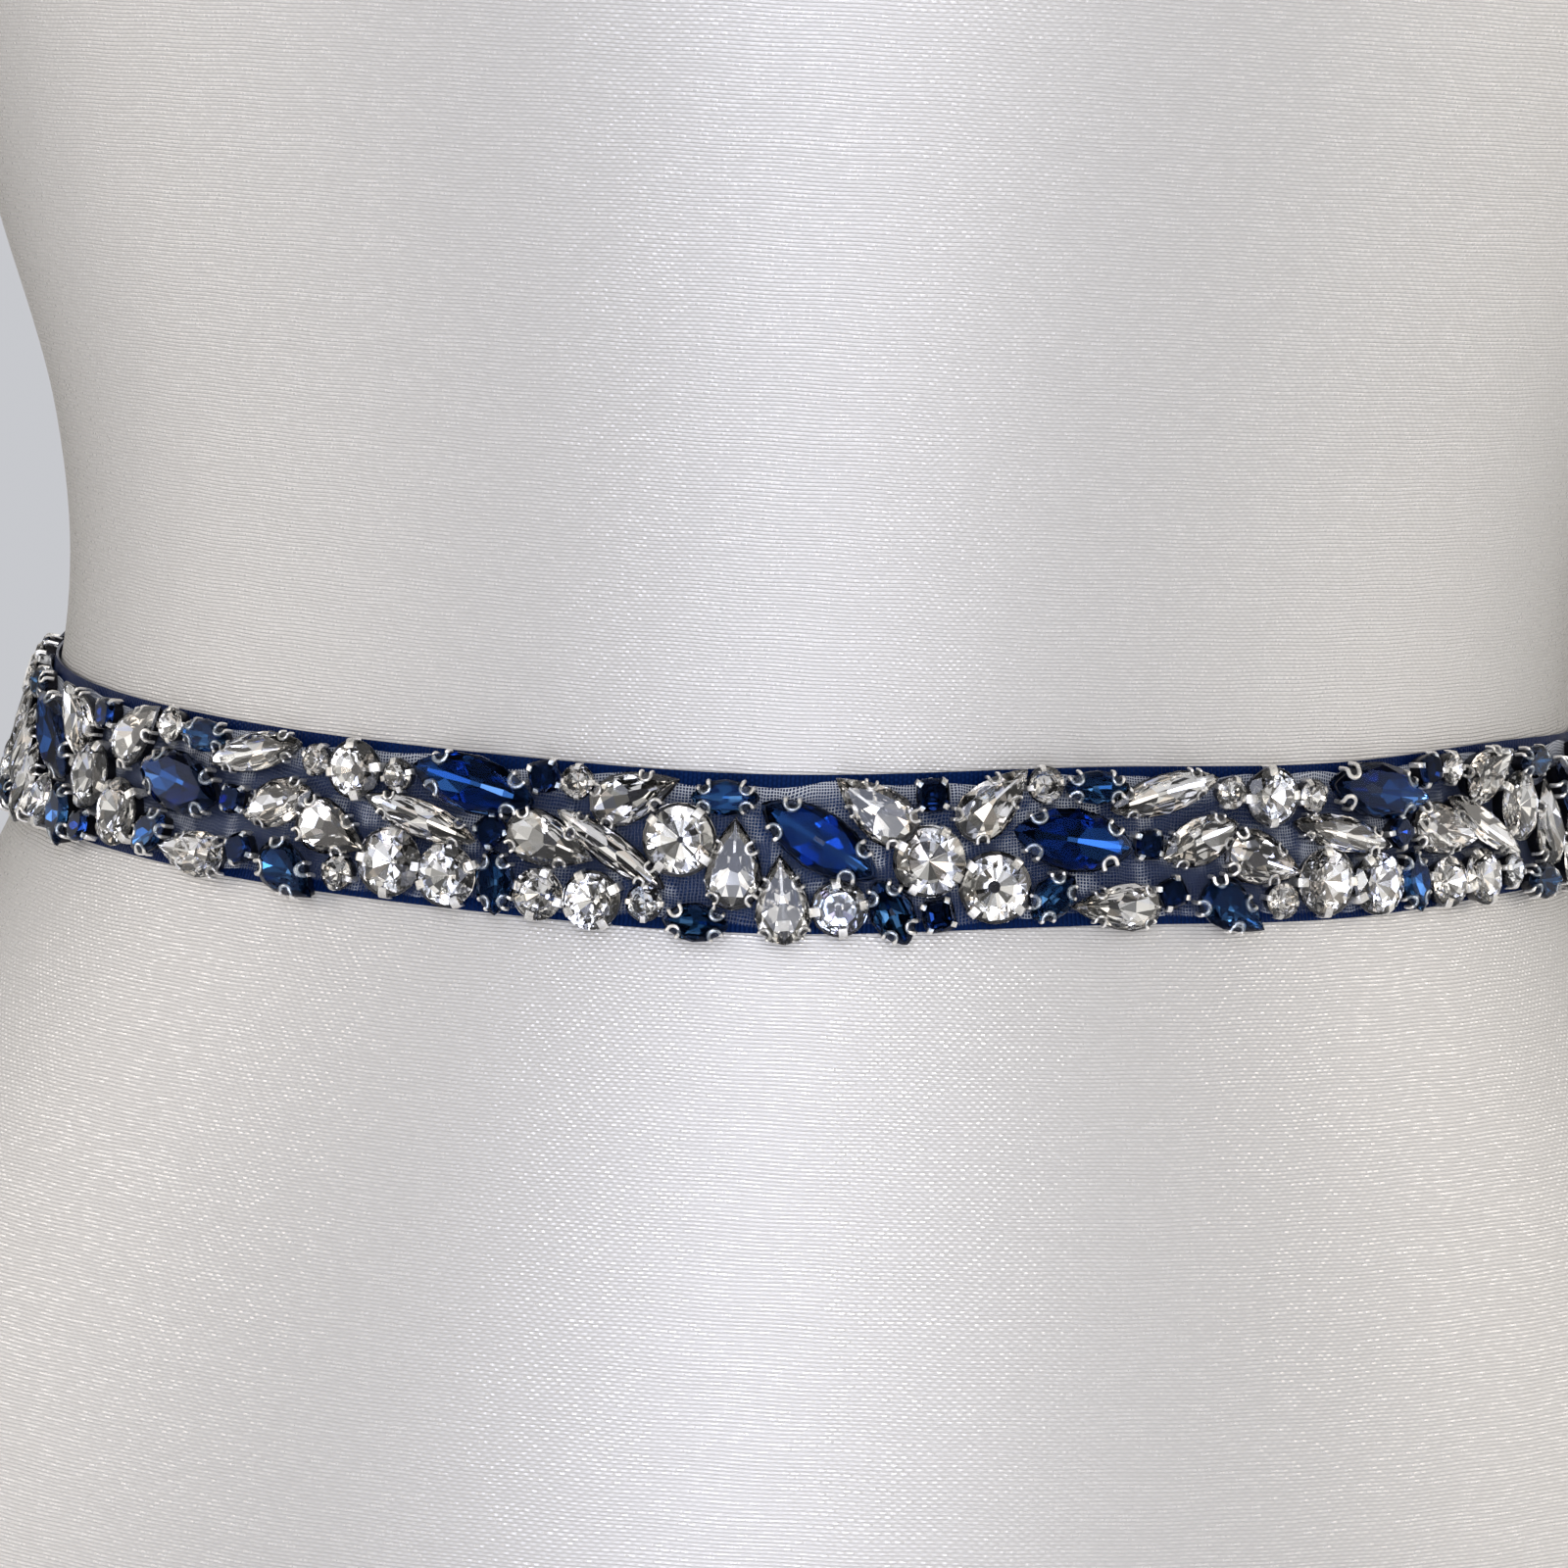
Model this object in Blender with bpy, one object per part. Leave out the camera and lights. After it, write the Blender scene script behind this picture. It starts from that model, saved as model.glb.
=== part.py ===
"""Bridal sash worn on a limbless dress form.

A navy satin ribbon is wrapped round the waist of the form and tied in a bow at
the back. Four repeats of a crystal trim, sewn end to end, lie on the ribbon
round the front and the sides. Each repeat is a strip of sheer cloth with its
set stones raised in the outer points over a plain inside.

Sizes are in millimetres, in the waist's own frame: X to the wearer's left as
seen from the front, Y from front to back, Z up, zero at the ribbon's centre.
The waist stands WAIST_HEIGHT above the flat underside of the form, where the
part has its origin. Meshes are made in metres.
"""

import math

import bpy
import numpy as np
from mathutils import Vector
from mathutils.geometry import delaunay_2d_cdt

MM = 0.001

# Waist and ribbon
WAIST_HEIGHT = 230.0
RIBBON_WIDTH = 22.0
CLOTH_WALL = 1.0
SEAM_GAP = 0.3
RIBBON_BACK_RISE = 3.6
RIBBON_SIDE_SWAY = 0.9
# Small waves of the ribbon: place round the waist in degrees, half length in degrees, rise in mm
RIBBON_WAVES = (
    (-4.5, 14.0, -0.7),
    (20.0, 16.0, 1.4),
    (56.0, 17.0, 2.0),
)
RIBBON_STEPS = 128
WAIST_SAMPLES = 721

# Dress form sections: height from the waist, half width, depth to the front, depth to the back
FORM_SECTIONS = (
    (-230.0, 156.0, 106.0, 112.0),
    (-224.0, 164.0, 112.5, 118.0),
    (-205.0, 170.0, 116.5, 122.0),
    (-165.0, 171.0, 117.0, 124.0),
    (-120.0, 168.0, 113.0, 120.0),
    (-80.0, 157.0, 106.0, 111.0),
    (-48.0, 142.5, 98.5, 101.0),
    (-28.0, 132.5, 94.0, 95.0),
    (-11.0, 124.5, 90.1, 90.1),
    (0.0, 121.0, 89.0, 89.0),
    (11.0, 118.4, 88.0, 88.0),
    (27.0, 117.3, 89.0, 88.0),
    (50.0, 120.0, 93.0, 89.5),
    (82.0, 130.0, 101.0, 93.0),
    (120.0, 141.0, 112.0, 98.0),
    (160.0, 148.0, 119.0, 102.0),
    (200.0, 152.0, 117.0, 105.0),
    (245.0, 155.0, 105.0, 106.0),
    (285.0, 157.0, 92.0, 105.0),
    (320.0, 157.0, 80.0, 100.0),
    (348.0, 148.0, 70.0, 92.0),
    (368.0, 130.0, 62.0, 82.0),
    (384.0, 106.0, 56.0, 72.0),
    (398.0, 83.0, 51.0, 63.0),
    (414.0, 66.0, 48.0, 56.0),
    (432.0, 59.0, 47.0, 52.0),
    (456.0, 57.0, 47.0, 51.0),
    (470.0, 54.0, 44.0, 48.0),
    (474.0, 48.0, 39.0, 43.0),
)
FORM_STEPS = 64
NECK_CROWN = 5.0

# Crystal trim
REPEAT_LENGTH = 132.0
REPEAT_COUNT = 4
TRIM_CENTRE = -5.5
SHEER_HALF_WIDTH = 9.8
SHEER_MARGIN = 0.6
SHEER_EDGE_STEPS = 30
STONE_BODY = 0.93
GIRDLE_HEIGHT = 1.5
TABLE_HEIGHT = 2.7
TABLE_SHARE = 0.5
# Joint between two repeats: height across the ribbon, place along it from the repeat's start
REPEAT_JOINT = (
    (11.0, -1.5),
    (7.5, -1.5),
    (4.5, -1.0),
    (0.0, -1.2),
    (-3.3, -0.6),
    (-5.5, -1.5),
    (-8.0, -3.0),
    (-11.0, -3.0),
)
# Stones of one repeat: cut, place along, height across, length, width, turn of the long axis in degrees
STONES = (
    ("navette", 6.5, 2.4, 18.0, 8.0, 147.0),
    ("pear", 13.9, 6.7, 12.5, 7.0, 141.0),
    ("square", 21.8, 8.3, 4.5, 4.5, 0.0),
    ("pear", 30.4, 7.0, 12.0, 7.0, 43.0),
    ("round", 21.5, -0.8, 9.3, 9.3, 0.0),
    ("round", 30.5, -4.8, 9.3, 9.3, 0.0),
    ("navette", 16.6, -7.7, 9.5, 6.0, 115.0),
    ("round", 9.6, -7.0, 7.3, 7.3, 0.0),
    ("pear", 2.0, -5.8, 11.5, 7.2, 94.0),
    ("square", 22.8, -8.3, 4.5, 4.5, 0.0),
    ("round", 37.6, 9.1, 4.8, 4.8, 0.0),
    ("navette", 44.9, 8.6, 9.2, 4.6, 179.0),
    ("navette", 41.6, 1.4, 17.0, 8.5, 170.0),
    ("navette", 38.4, -6.4, 8.0, 5.5, 43.0),
    ("pear", 47.2, -8.0, 12.0, 6.2, 179.0),
    ("square", 52.4, 0.5, 4.0, 4.0, 0.0),
    ("navette", 54.8, 7.6, 15.2, 5.2, 16.0),
    ("round", 65.1, 7.7, 4.2, 4.2, 0.0),
    ("round", 71.5, 7.1, 7.7, 7.7, 0.0),
    ("round", 78.3, 7.0, 4.4, 4.4, 0.0),
    ("navette", 60.1, 1.0, 11.4, 6.3, 23.0),
    ("pear", 69.6, -1.8, 11.5, 7.2, -18.0),
    ("round", 71.9, -7.5, 4.6, 4.6, 0.0),
    ("pear", 64.2, -8.5, 10.7, 6.8, -32.0),
    ("square", 55.4, -6.2, 4.2, 4.2, 0.0),
    ("round", 79.6, -5.1, 8.4, 8.4, 0.0),
    ("round", 88.0, -6.2, 7.8, 7.8, 0.0),
    ("navette", 82.9, 1.4, 16.5, 4.8, 165.0),
    ("navette", 90.0, 7.0, 18.0, 7.8, 169.0),
    ("square", 93.3, 0.8, 4.2, 4.2, 0.0),
    ("navette", 94.9, -6.2, 8.8, 5.3, 97.0),
    ("square", 99.9, 9.0, 4.4, 4.4, 0.0),
    ("round", 104.7, 8.7, 4.4, 4.4, 0.0),
    ("pear", 113.0, 7.6, 12.2, 6.7, 23.0),
    ("round", 119.6, 1.9, 9.5, 9.5, 0.0),
    ("navette", 125.4, 8.0, 9.2, 4.8, 181.0),
    ("pear", 101.9, 0.1, 12.3, 7.0, -17.0),
    ("navette", 110.4, -0.1, 17.0, 4.4, 148.0),
    ("round", 101.2, -7.2, 6.7, 6.7, 0.0),
    ("round", 108.6, -7.3, 7.6, 7.6, 0.0),
    ("round", 115.7, -7.1, 4.8, 4.8, 0.0),
    ("navette", 122.7, -9.3, 9.0, 5.2, 177.0),
    ("pear", 127.2, -1.0, 12.0, 7.4, 89.0),
)
# Outlines of the cuts: a round below the small size has fewer sides; shares are of the half length,
# or of the half width at the pear's round end
SMALL_ROUND = 6.0
SMALL_ROUND_SIDES = 6
ROUND_SIDES = 8
NAVETTE_PLACES = (0.55, 0.0, -0.55)
NAVETTE_FULLNESS = 0.9
PEAR_SHOULDER = (0.45, 0.78)
PEAR_HEEL = (0.75, 0.66)

# Bow at the back
KNOT_HALF_WIDTH = 10.0
KNOT_HALF_HEIGHT = 10.5
KNOT_DEPTH = 11.0
KNOT_SIDES = 16
KNOT_SQUARENESS = 0.7
# Knot rings: height as a share of the half height, size as a share of the full section
KNOT_RINGS = (
    (-1.0, 0.62),
    (-0.86, 0.84),
    (-0.45, 0.97),
    (0.0, 1.0),
    (0.45, 0.97),
    (0.86, 0.84),
    (1.0, 0.62),
)
# Loop path: distance from the knot's middle, distance off the form, half width of the ribbon, droop
LOOP_PATH = (
    (9.7, 4.6, 5.0, 0.0),
    (18.0, 4.4, 8.0, 0.4),
    (30.0, 4.6, 10.4, 1.6),
    (44.0, 6.0, 11.0, 3.6),
    (56.0, 8.4, 11.0, 6.0),
    (62.5, 11.6, 11.0, 7.4),
    (64.0, 15.5, 11.0, 7.8),
    (61.0, 19.4, 11.0, 7.2),
    (53.0, 21.6, 11.0, 5.4),
    (42.0, 20.4, 11.0, 3.2),
    (29.0, 16.6, 10.2, 1.4),
    (18.0, 12.6, 7.6, 0.3),
    (9.6, 9.2, 5.0, 0.0),
)
LOOP_PUFF_OUTER = 1.6
LOOP_PUFF_INNER = -0.64
LOOP_MIDDLE_OFF = 10.0
# Tail path: fall below the knot's foot, distance from the middle, distance off the form, half width
TAIL_PATH = (
    (0.4, 5.2, 2.4, 4.6),
    (8.0, 6.8, 2.6, 6.0),
    (18.0, 10.6, 2.4, 8.6),
    (32.0, 16.2, 1.6, 10.6),
    (52.0, 22.4, 1.4, 11.0),
    (78.0, 28.0, 2.2, 11.0),
    (106.0, 32.5, 3.2, 11.0),
    (134.0, 36.0, 2.2, 11.0),
    (160.0, 40.0, 1.4, 11.0),
    (182.0, 44.0, 1.6, 11.0),
)
TAIL_TURN = 12.0
TAIL_TURN_ROWS = 3
TAIL_CUT = 11.0


def smooth_between(place, places, values):
    """Read a smooth curve through the given values, with the slope of each point from its neighbours."""
    slopes = np.gradient(values, places)
    row = int(np.clip(np.searchsorted(places, place) - 1, 0, len(places) - 2))
    span = places[row + 1] - places[row]
    share = min(max((place - places[row]) / span, 0.0), 1.0)
    start = 2 * share ** 3 - 3 * share ** 2 + 1
    start_slope = share ** 3 - 2 * share ** 2 + share
    end_slope = share ** 3 - share ** 2
    return (start * values[row] + start_slope * span * slopes[row]
            + (1 - start) * values[row + 1] + end_slope * span * slopes[row + 1])


def form_size(height):
    """Half width, front depth and back depth of the dress form at a height from the waist."""
    heights, widths, fronts, backs = (np.array(column) for column in zip(*FORM_SECTIONS))
    return tuple(smooth_between(height, heights, column) for column in (widths, fronts, backs))


def on_form(angle, height, off):
    """Point at an angle from the centre front and a height, a distance out from the form."""
    half_width, front, back = form_size(height)
    depth = front if math.cos(angle) > 0 else back
    side = half_width * math.sin(angle)
    level = -depth * math.cos(angle)
    out = Vector((side / half_width ** 2, level / depth ** 2, 0.0)).normalized()
    return Vector((side, level, height)) + off * out


def on_form_back(across, height, off):
    """Point at a distance across the back of the form, a distance out from it."""
    half_width = form_size(height)[0]
    return on_form(math.pi - math.asin(across / half_width), height, off)


def ribbon_rise(angle):
    """Height of the ribbon's centre line round the waist: up at the back, with its small waves."""
    rise = 0.5 * RIBBON_BACK_RISE * (1 - math.cos(angle)) + RIBBON_SIDE_SWAY * math.sin(2 * angle)
    turned = (math.degrees(angle) + 180.0) % 360.0 - 180.0
    for place, half_length, height in RIBBON_WAVES:
        rise += height * math.exp(-((turned - place) / half_length) ** 2)
    return rise


def waist_angles():
    """Angles round the waist, and the length of cloth from the centre front to each of them."""
    angles = np.linspace(-math.pi, math.pi, WAIST_SAMPLES)
    half_width, front, _ = form_size(0.0)
    points = np.stack([half_width * np.sin(angles), -front * np.cos(angles)], axis=1)
    steps = np.linalg.norm(np.diff(points, axis=0), axis=1)
    lengths = np.concatenate([[0.0], np.cumsum(steps)])
    return angles, lengths - np.interp(0.0, angles, lengths)


WAIST_ANGLES, WAIST_LENGTHS = waist_angles()


def on_ribbon(along, across, off):
    """Point along and across the ribbon from its centre front, a distance out from the form."""
    angle = float(np.interp(along, WAIST_LENGTHS, WAIST_ANGLES))
    return on_form(angle, across + ribbon_rise(angle), off)


def add_material(name, colour, roughness, metallic):
    """A Principled material of one colour."""
    material = bpy.data.materials.new(name)
    material.use_nodes = True
    shader = material.node_tree.nodes["Principled BSDF"]
    shader.inputs["Base Color"].default_value = (*colour, 1.0)
    shader.inputs["Roughness"].default_value = roughness
    shader.inputs["Metallic"].default_value = metallic
    return material


def add_object(name, points, faces, material, waist):
    """One named object from points in millimetres, held by the waist."""
    mesh = bpy.data.meshes.new(name)
    mesh.from_pydata([tuple(MM * value for value in point) for point in points], [], faces)
    mesh.materials.append(material)
    mesh.shade_smooth()
    mesh.set_sharp_from_angle(angle=math.radians(35.0))
    piece = bpy.data.objects.new(name, mesh)
    bpy.context.collection.objects.link(piece)
    piece.parent = waist
    return piece


def grid_faces(rows, columns, closed):
    """Faces of a grid of points, closed along its rows where the last row meets the first."""
    last = rows if closed else rows - 1
    faces = []
    for row in range(last):
        after = (row + 1) % rows
        for column in range(columns - 1):
            faces.append((row * columns + column, after * columns + column,
                          after * columns + column + 1, row * columns + column + 1))
    return faces


def add_cloth(name, rows, closed, material, waist):
    """A cloth wall: a grid of points on its inner side, thickened outwards."""
    points = [point for row in rows for point in row]
    piece = add_object(name, points, grid_faces(len(rows), len(rows[0]), closed), material, waist)
    wall = piece.modifiers.new("Cloth wall", "SOLIDIFY")
    wall.thickness = CLOTH_WALL * MM
    wall.offset = 1.0
    return piece


def loft_rings(rings, foot, crown):
    """Points and faces of a closed body through rings, with a foot and a crown point."""
    steps = len(rings[0])
    points = [point for ring in rings for point in ring] + [foot, crown]
    faces = []
    for row in range(len(rings) - 1):
        for step in range(steps):
            after = (step + 1) % steps
            faces.append((row * steps + step, row * steps + after,
                          (row + 1) * steps + after, (row + 1) * steps + step))
    top = (len(rings) - 1) * steps
    for step in range(steps):
        after = (step + 1) % steps
        faces.append((len(points) - 2, after, step))
        faces.append((len(points) - 1, top + step, top + after))
    return points, faces


def add_dress_form(material, waist):
    """The limbless form, neck to hips, flat underneath."""
    rings = []
    for height, *_ in FORM_SECTIONS:
        rings.append([on_form(2 * math.pi * step / FORM_STEPS, height, 0.0) for step in range(FORM_STEPS)])
    foot = Vector((0.0, 0.0, FORM_SECTIONS[0][0]))
    crown = Vector((0.0, 0.0, FORM_SECTIONS[-1][0] + NECK_CROWN))
    points, faces = loft_rings(rings, foot, crown)
    return add_object("dress_form", points, faces, material, waist)


def add_ribbon_band(material, waist):
    """The ribbon round the waist, one closed band."""
    rows = []
    for step in range(RIBBON_STEPS):
        angle = 2 * math.pi * step / RIBBON_STEPS
        rise = ribbon_rise(angle)
        rows.append([on_form(angle, across + rise, SEAM_GAP)
                     for across in (-RIBBON_WIDTH / 2, 0.0, RIBBON_WIDTH / 2)])
    return add_cloth("ribbon_band", rows, True, material, waist)


def stone_outline(cut, length, width):
    """Outline of a stone round its own middle, counter-clockwise, with its point or long axis on +X."""
    half = length / 2
    if cut == "round":
        sides = SMALL_ROUND_SIDES if length < SMALL_ROUND else ROUND_SIDES
        return [(half * math.cos(2 * math.pi * side / sides), half * math.sin(2 * math.pi * side / sides))
                for side in range(sides)]
    if cut == "square":
        return [(half, half), (-half, half), (-half, -half), (half, -half)]
    if cut == "navette":
        upper = [(share * half, width / 2 * (1 - share ** 2) ** NAVETTE_FULLNESS) for share in NAVETTE_PLACES]
        lower = [(place, -height) for place, height in reversed(upper)]
        return [(half, 0.0), *upper, (-half, 0.0), *lower]
    radius = width / 2
    middle = radius - half
    shoulder = (middle + PEAR_SHOULDER[0] * (half - middle), PEAR_SHOULDER[1] * radius)
    heel = (middle - PEAR_HEEL[0] * radius, PEAR_HEEL[1] * radius)
    upper = [shoulder, (middle, radius), heel]
    lower = [(place, -height) for place, height in reversed(upper)]
    return [(half, 0.0), *upper, (-half, 0.0), *lower]


def placed_outline(stone, size):
    """Outline of a stone at its place on the repeat, at a share of its size."""
    cut, along, across, length, width, turn = stone
    cosine = math.cos(math.radians(turn))
    sine = math.sin(math.radians(turn))
    return [Vector((along + size * (x * cosine - y * sine), across + size * (x * sine + y * cosine)))
            for x, y in stone_outline(cut, length, width)]


def sheer_outline(outlines):
    """Edge of the sheer strip: cut just past the stones, jointed in the gaps between repeats."""
    start = [Vector((place, height)) for height, place in REPEAT_JOINT[1:-1]]
    end = [Vector((place + REPEAT_LENGTH - SEAM_GAP, height)) for height, place in REPEAT_JOINT[1:-1]]
    step = REPEAT_LENGTH / SHEER_EDGE_STEPS
    lower = []
    upper = []
    for index in range(SHEER_EDGE_STEPS + 1):
        share = index / SHEER_EDGE_STEPS
        low_place = REPEAT_JOINT[-1][1] + share * (REPEAT_LENGTH - SEAM_GAP)
        high_place = REPEAT_JOINT[0][1] + share * (REPEAT_LENGTH - SEAM_GAP)
        near_low = [point.y for ring in outlines for point in ring if abs(point.x - low_place) < step]
        near_high = [point.y for ring in outlines for point in ring if abs(point.x - high_place) < step]
        lower.append(Vector((low_place, min([-SHEER_HALF_WIDTH, *[y - SHEER_MARGIN for y in near_low]]))))
        upper.append(Vector((high_place, max([SHEER_HALF_WIDTH, *[y + SHEER_MARGIN for y in near_high]]))))
    return lower + end[::-1] + upper[::-1] + start


def is_inside(point, outline):
    """Whether a point lies inside an outline."""
    inside = False
    for start, end in zip(outline, outline[1:] + outline[:1]):
        if (start.y > point.y) != (end.y > point.y):
            if point.x < start.x + (end.x - start.x) * (point.y - start.y) / (end.y - start.y):
                inside = not inside
    return inside


def fill_between(edge, holes, seeds=()):
    """Triangles, as numbers of the points given, that fill an outline but for its holes."""
    points = list(edge)
    lines = [(index, (index + 1) % len(edge)) for index in range(len(edge))]
    points += seeds
    for hole in holes:
        first = len(points)
        points += hole
        lines += [(first + index, first + (index + 1) % len(hole)) for index in range(len(hole))]
    found, _, triangles, sources, _, _ = delaunay_2d_cdt(points, lines, [], 0, 1e-6)
    faces = []
    for triangle in triangles:
        middle = sum((found[corner] for corner in triangle), Vector((0.0, 0.0))) / 3
        if is_inside(middle, edge) and not any(is_inside(middle, hole) for hole in holes):
            faces.append(tuple(sources[corner][0] for corner in triangle))
    return faces


def add_crystal_repeat(number, material, waist):
    """One repeat of the trim: a sheer strip, plain inside, with its stones raised outside."""
    start = TRIM_CENTRE + REPEAT_LENGTH * (number - 1 - REPEAT_COUNT / 2)
    inside = SEAM_GAP + CLOTH_WALL + SEAM_GAP
    outside = inside + CLOTH_WALL
    outlines = [placed_outline(stone, STONE_BODY) for stone in STONES]
    edge = sheer_outline(outlines)
    step = REPEAT_LENGTH / SHEER_EDGE_STEPS
    seeds = [Vector(((index + 0.5) * step, 0.0)) for index in range(SHEER_EDGE_STEPS)]
    flat = [(point, inside) for point in edge + seeds] + [(point, outside) for point in edge]
    faces = [tuple(reversed(face)) for face in fill_between(edge, [], seeds)]
    count = len(edge)
    raised = len(edge) + len(seeds)
    for index in range(count):
        after = (index + 1) % count
        faces.append((index, after, raised + after, raised + index))
    places = list(range(raised, raised + count))
    for ring in outlines:
        places += range(len(flat), len(flat) + len(ring))
        middle = sum(ring, Vector((0.0, 0.0))) / len(ring)
        levels = ((1.0, outside), (1.0, outside + GIRDLE_HEIGHT), (TABLE_SHARE, outside + TABLE_HEIGHT))
        first = len(flat)
        for share, height in levels:
            flat += [(middle + share * (point - middle), height) for point in ring]
        sides = len(ring)
        for level in range(len(levels) - 1):
            for side in range(sides):
                low = first + level * sides
                after = (side + 1) % sides
                faces.append((low + side, low + after, low + sides + after, low + sides + side))
        top = first + (len(levels) - 1) * sides
        faces.append(tuple(range(top, top + sides)))
    faces += [tuple(places[corner] for corner in face) for face in fill_between(edge, outlines)]
    points = [on_ribbon(start + point.x, point.y, off) for point, off in flat]
    return add_object(f"crystal_trim_{number}", points, faces, material, waist)


def add_knot(material, waist):
    """The bow's knot: the ribbon wrapped round its own ends, a rounded pad."""
    rise = ribbon_rise(math.pi)
    middle = on_form_back(0.0, rise, 2 * SEAM_GAP + CLOTH_WALL).y + KNOT_DEPTH / 2
    rings = []
    for level, size in KNOT_RINGS:
        ring = []
        for side in range(KNOT_SIDES):
            angle = 2 * math.pi * side / KNOT_SIDES
            x = math.copysign(abs(math.cos(angle)) ** KNOT_SQUARENESS, math.cos(angle)) * KNOT_HALF_WIDTH
            y = math.copysign(abs(math.sin(angle)) ** KNOT_SQUARENESS, math.sin(angle)) * KNOT_DEPTH / 2
            ring.append(Vector((size * x, middle + size * y, rise + level * KNOT_HALF_HEIGHT)))
        rings.append(ring)
    foot = Vector((0.0, middle, rise - KNOT_HALF_HEIGHT))
    crown = Vector((0.0, middle, rise + KNOT_HALF_HEIGHT))
    points, faces = loft_rings(rings, foot, crown)
    return add_object("bow_knot", points, faces, material, waist)


def add_loop(name, side, material, waist):
    """One loop of the bow, from the knot out along the form and back."""
    rise = ribbon_rise(math.pi)
    rows = []
    for away, off, half_width, droop in LOOP_PATH:
        row = []
        for share in (-1.0, 0.0, 1.0):
            height = rise - droop + share * half_width
            puff = LOOP_PUFF_OUTER if off > LOOP_MIDDLE_OFF else LOOP_PUFF_INNER
            row.append(on_form_back(side * away, height, off + puff * (1 - abs(share))))
        rows.append(row if side > 0 else row[::-1])
    return add_cloth(name, rows, False, material, waist)


def add_tail(name, side, material, waist):
    """One tail of the bow, hanging on the back of the form, its end cut on the slant."""
    rise = ribbon_rise(math.pi)
    full_turn = math.radians(TAIL_TURN)
    rows = []
    for index, (fall, away, off, half_width) in enumerate(TAIL_PATH):
        turn = full_turn * min(index / TAIL_TURN_ROWS, 1.0)
        cut = TAIL_CUT if index == len(TAIL_PATH) - 1 else 0.0
        row = []
        for share in (-1.0, 0.0, 1.0):
            across = side * away + share * half_width * math.cos(full_turn)
            lift = share * side * (cut + half_width * math.sin(turn))
            row.append(on_form_back(across, rise - KNOT_HALF_HEIGHT - fall + lift, off))
        rows.append(row)
    return add_cloth(name, rows, False, material, waist)


def main():
    for piece in list(bpy.data.objects):
        bpy.data.objects.remove(piece, do_unlink=True)
    waist = bpy.data.objects.new("waist", None)
    bpy.context.collection.objects.link(waist)
    waist.location.z = WAIST_HEIGHT * MM
    satin = add_material("navy satin ribbon", (0.012, 0.030, 0.130), 0.4, 0.0)
    crystal = add_material("crystal trim", (0.62, 0.64, 0.66), 0.15, 0.6)
    cover = add_material("ivory satin cover", (0.72, 0.71, 0.68), 0.45, 0.0)
    add_dress_form(cover, waist)
    add_ribbon_band(satin, waist)
    for number in range(1, REPEAT_COUNT + 1):
        add_crystal_repeat(number, crystal, waist)
    add_knot(satin, waist)
    for name, side in (("left", 1.0), ("right", -1.0)):
        add_loop(f"bow_loop_{name}", side, satin, waist)
        add_tail(f"bow_tail_{name}", side, satin, waist)


main()
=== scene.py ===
"""Finish of the bridal sash on its dress form, laid out as an add-on.

Each operator makes one group of pieces round the fixed frame: the satin cover
of the form, the ribbon band, the sheer strips, the silver settings, the cut
stones, the bow, and the studio. Tables and path lengths are in millimetres in
the waist's own frame, as the frame's solids were made; meshes are in metres.
"""

import math
import random

import bpy
import numpy as np
from mathutils import Matrix, Vector


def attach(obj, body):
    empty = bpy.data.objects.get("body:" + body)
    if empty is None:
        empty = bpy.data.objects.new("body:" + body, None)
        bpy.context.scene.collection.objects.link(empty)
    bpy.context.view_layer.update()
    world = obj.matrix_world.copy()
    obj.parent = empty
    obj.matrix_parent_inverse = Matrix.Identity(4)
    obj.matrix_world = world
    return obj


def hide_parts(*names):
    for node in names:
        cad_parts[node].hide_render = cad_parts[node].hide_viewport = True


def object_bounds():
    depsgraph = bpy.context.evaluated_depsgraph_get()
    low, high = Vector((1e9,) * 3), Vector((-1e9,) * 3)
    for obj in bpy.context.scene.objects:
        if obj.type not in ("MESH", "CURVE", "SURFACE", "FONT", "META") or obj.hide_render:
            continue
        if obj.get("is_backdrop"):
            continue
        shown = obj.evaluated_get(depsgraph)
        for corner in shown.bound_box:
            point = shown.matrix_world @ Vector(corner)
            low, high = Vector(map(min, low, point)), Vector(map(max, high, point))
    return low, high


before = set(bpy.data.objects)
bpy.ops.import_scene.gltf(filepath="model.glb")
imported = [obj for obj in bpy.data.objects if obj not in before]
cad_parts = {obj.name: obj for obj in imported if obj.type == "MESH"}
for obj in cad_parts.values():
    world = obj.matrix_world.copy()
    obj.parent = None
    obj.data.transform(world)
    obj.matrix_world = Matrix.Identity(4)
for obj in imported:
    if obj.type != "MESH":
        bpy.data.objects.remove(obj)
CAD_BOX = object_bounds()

bl_info = {
    "name": "Bridal Sash",
    "version": (1, 0, 0),
    "blender": (4, 5, 0),
    "location": "View3D > Sidebar > Bridal Sash",
    "description": "Builds the finish of a crystal bridal sash worn on a dress form",
    "category": "Object",
}

MM = 0.001
BODY = "root"
WAIST_HEIGHT = 230.0
RIBBON_BACK_RISE = 3.6
RIBBON_SIDE_SWAY = 0.9
# Small waves of the ribbon: place round the waist in degrees, half length in degrees, rise in mm
RIBBON_WAVES = (
    (-4.5, 14.0, -0.7),
    (20.0, 16.0, 1.4),
    (56.0, 17.0, 2.0),
)

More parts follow.
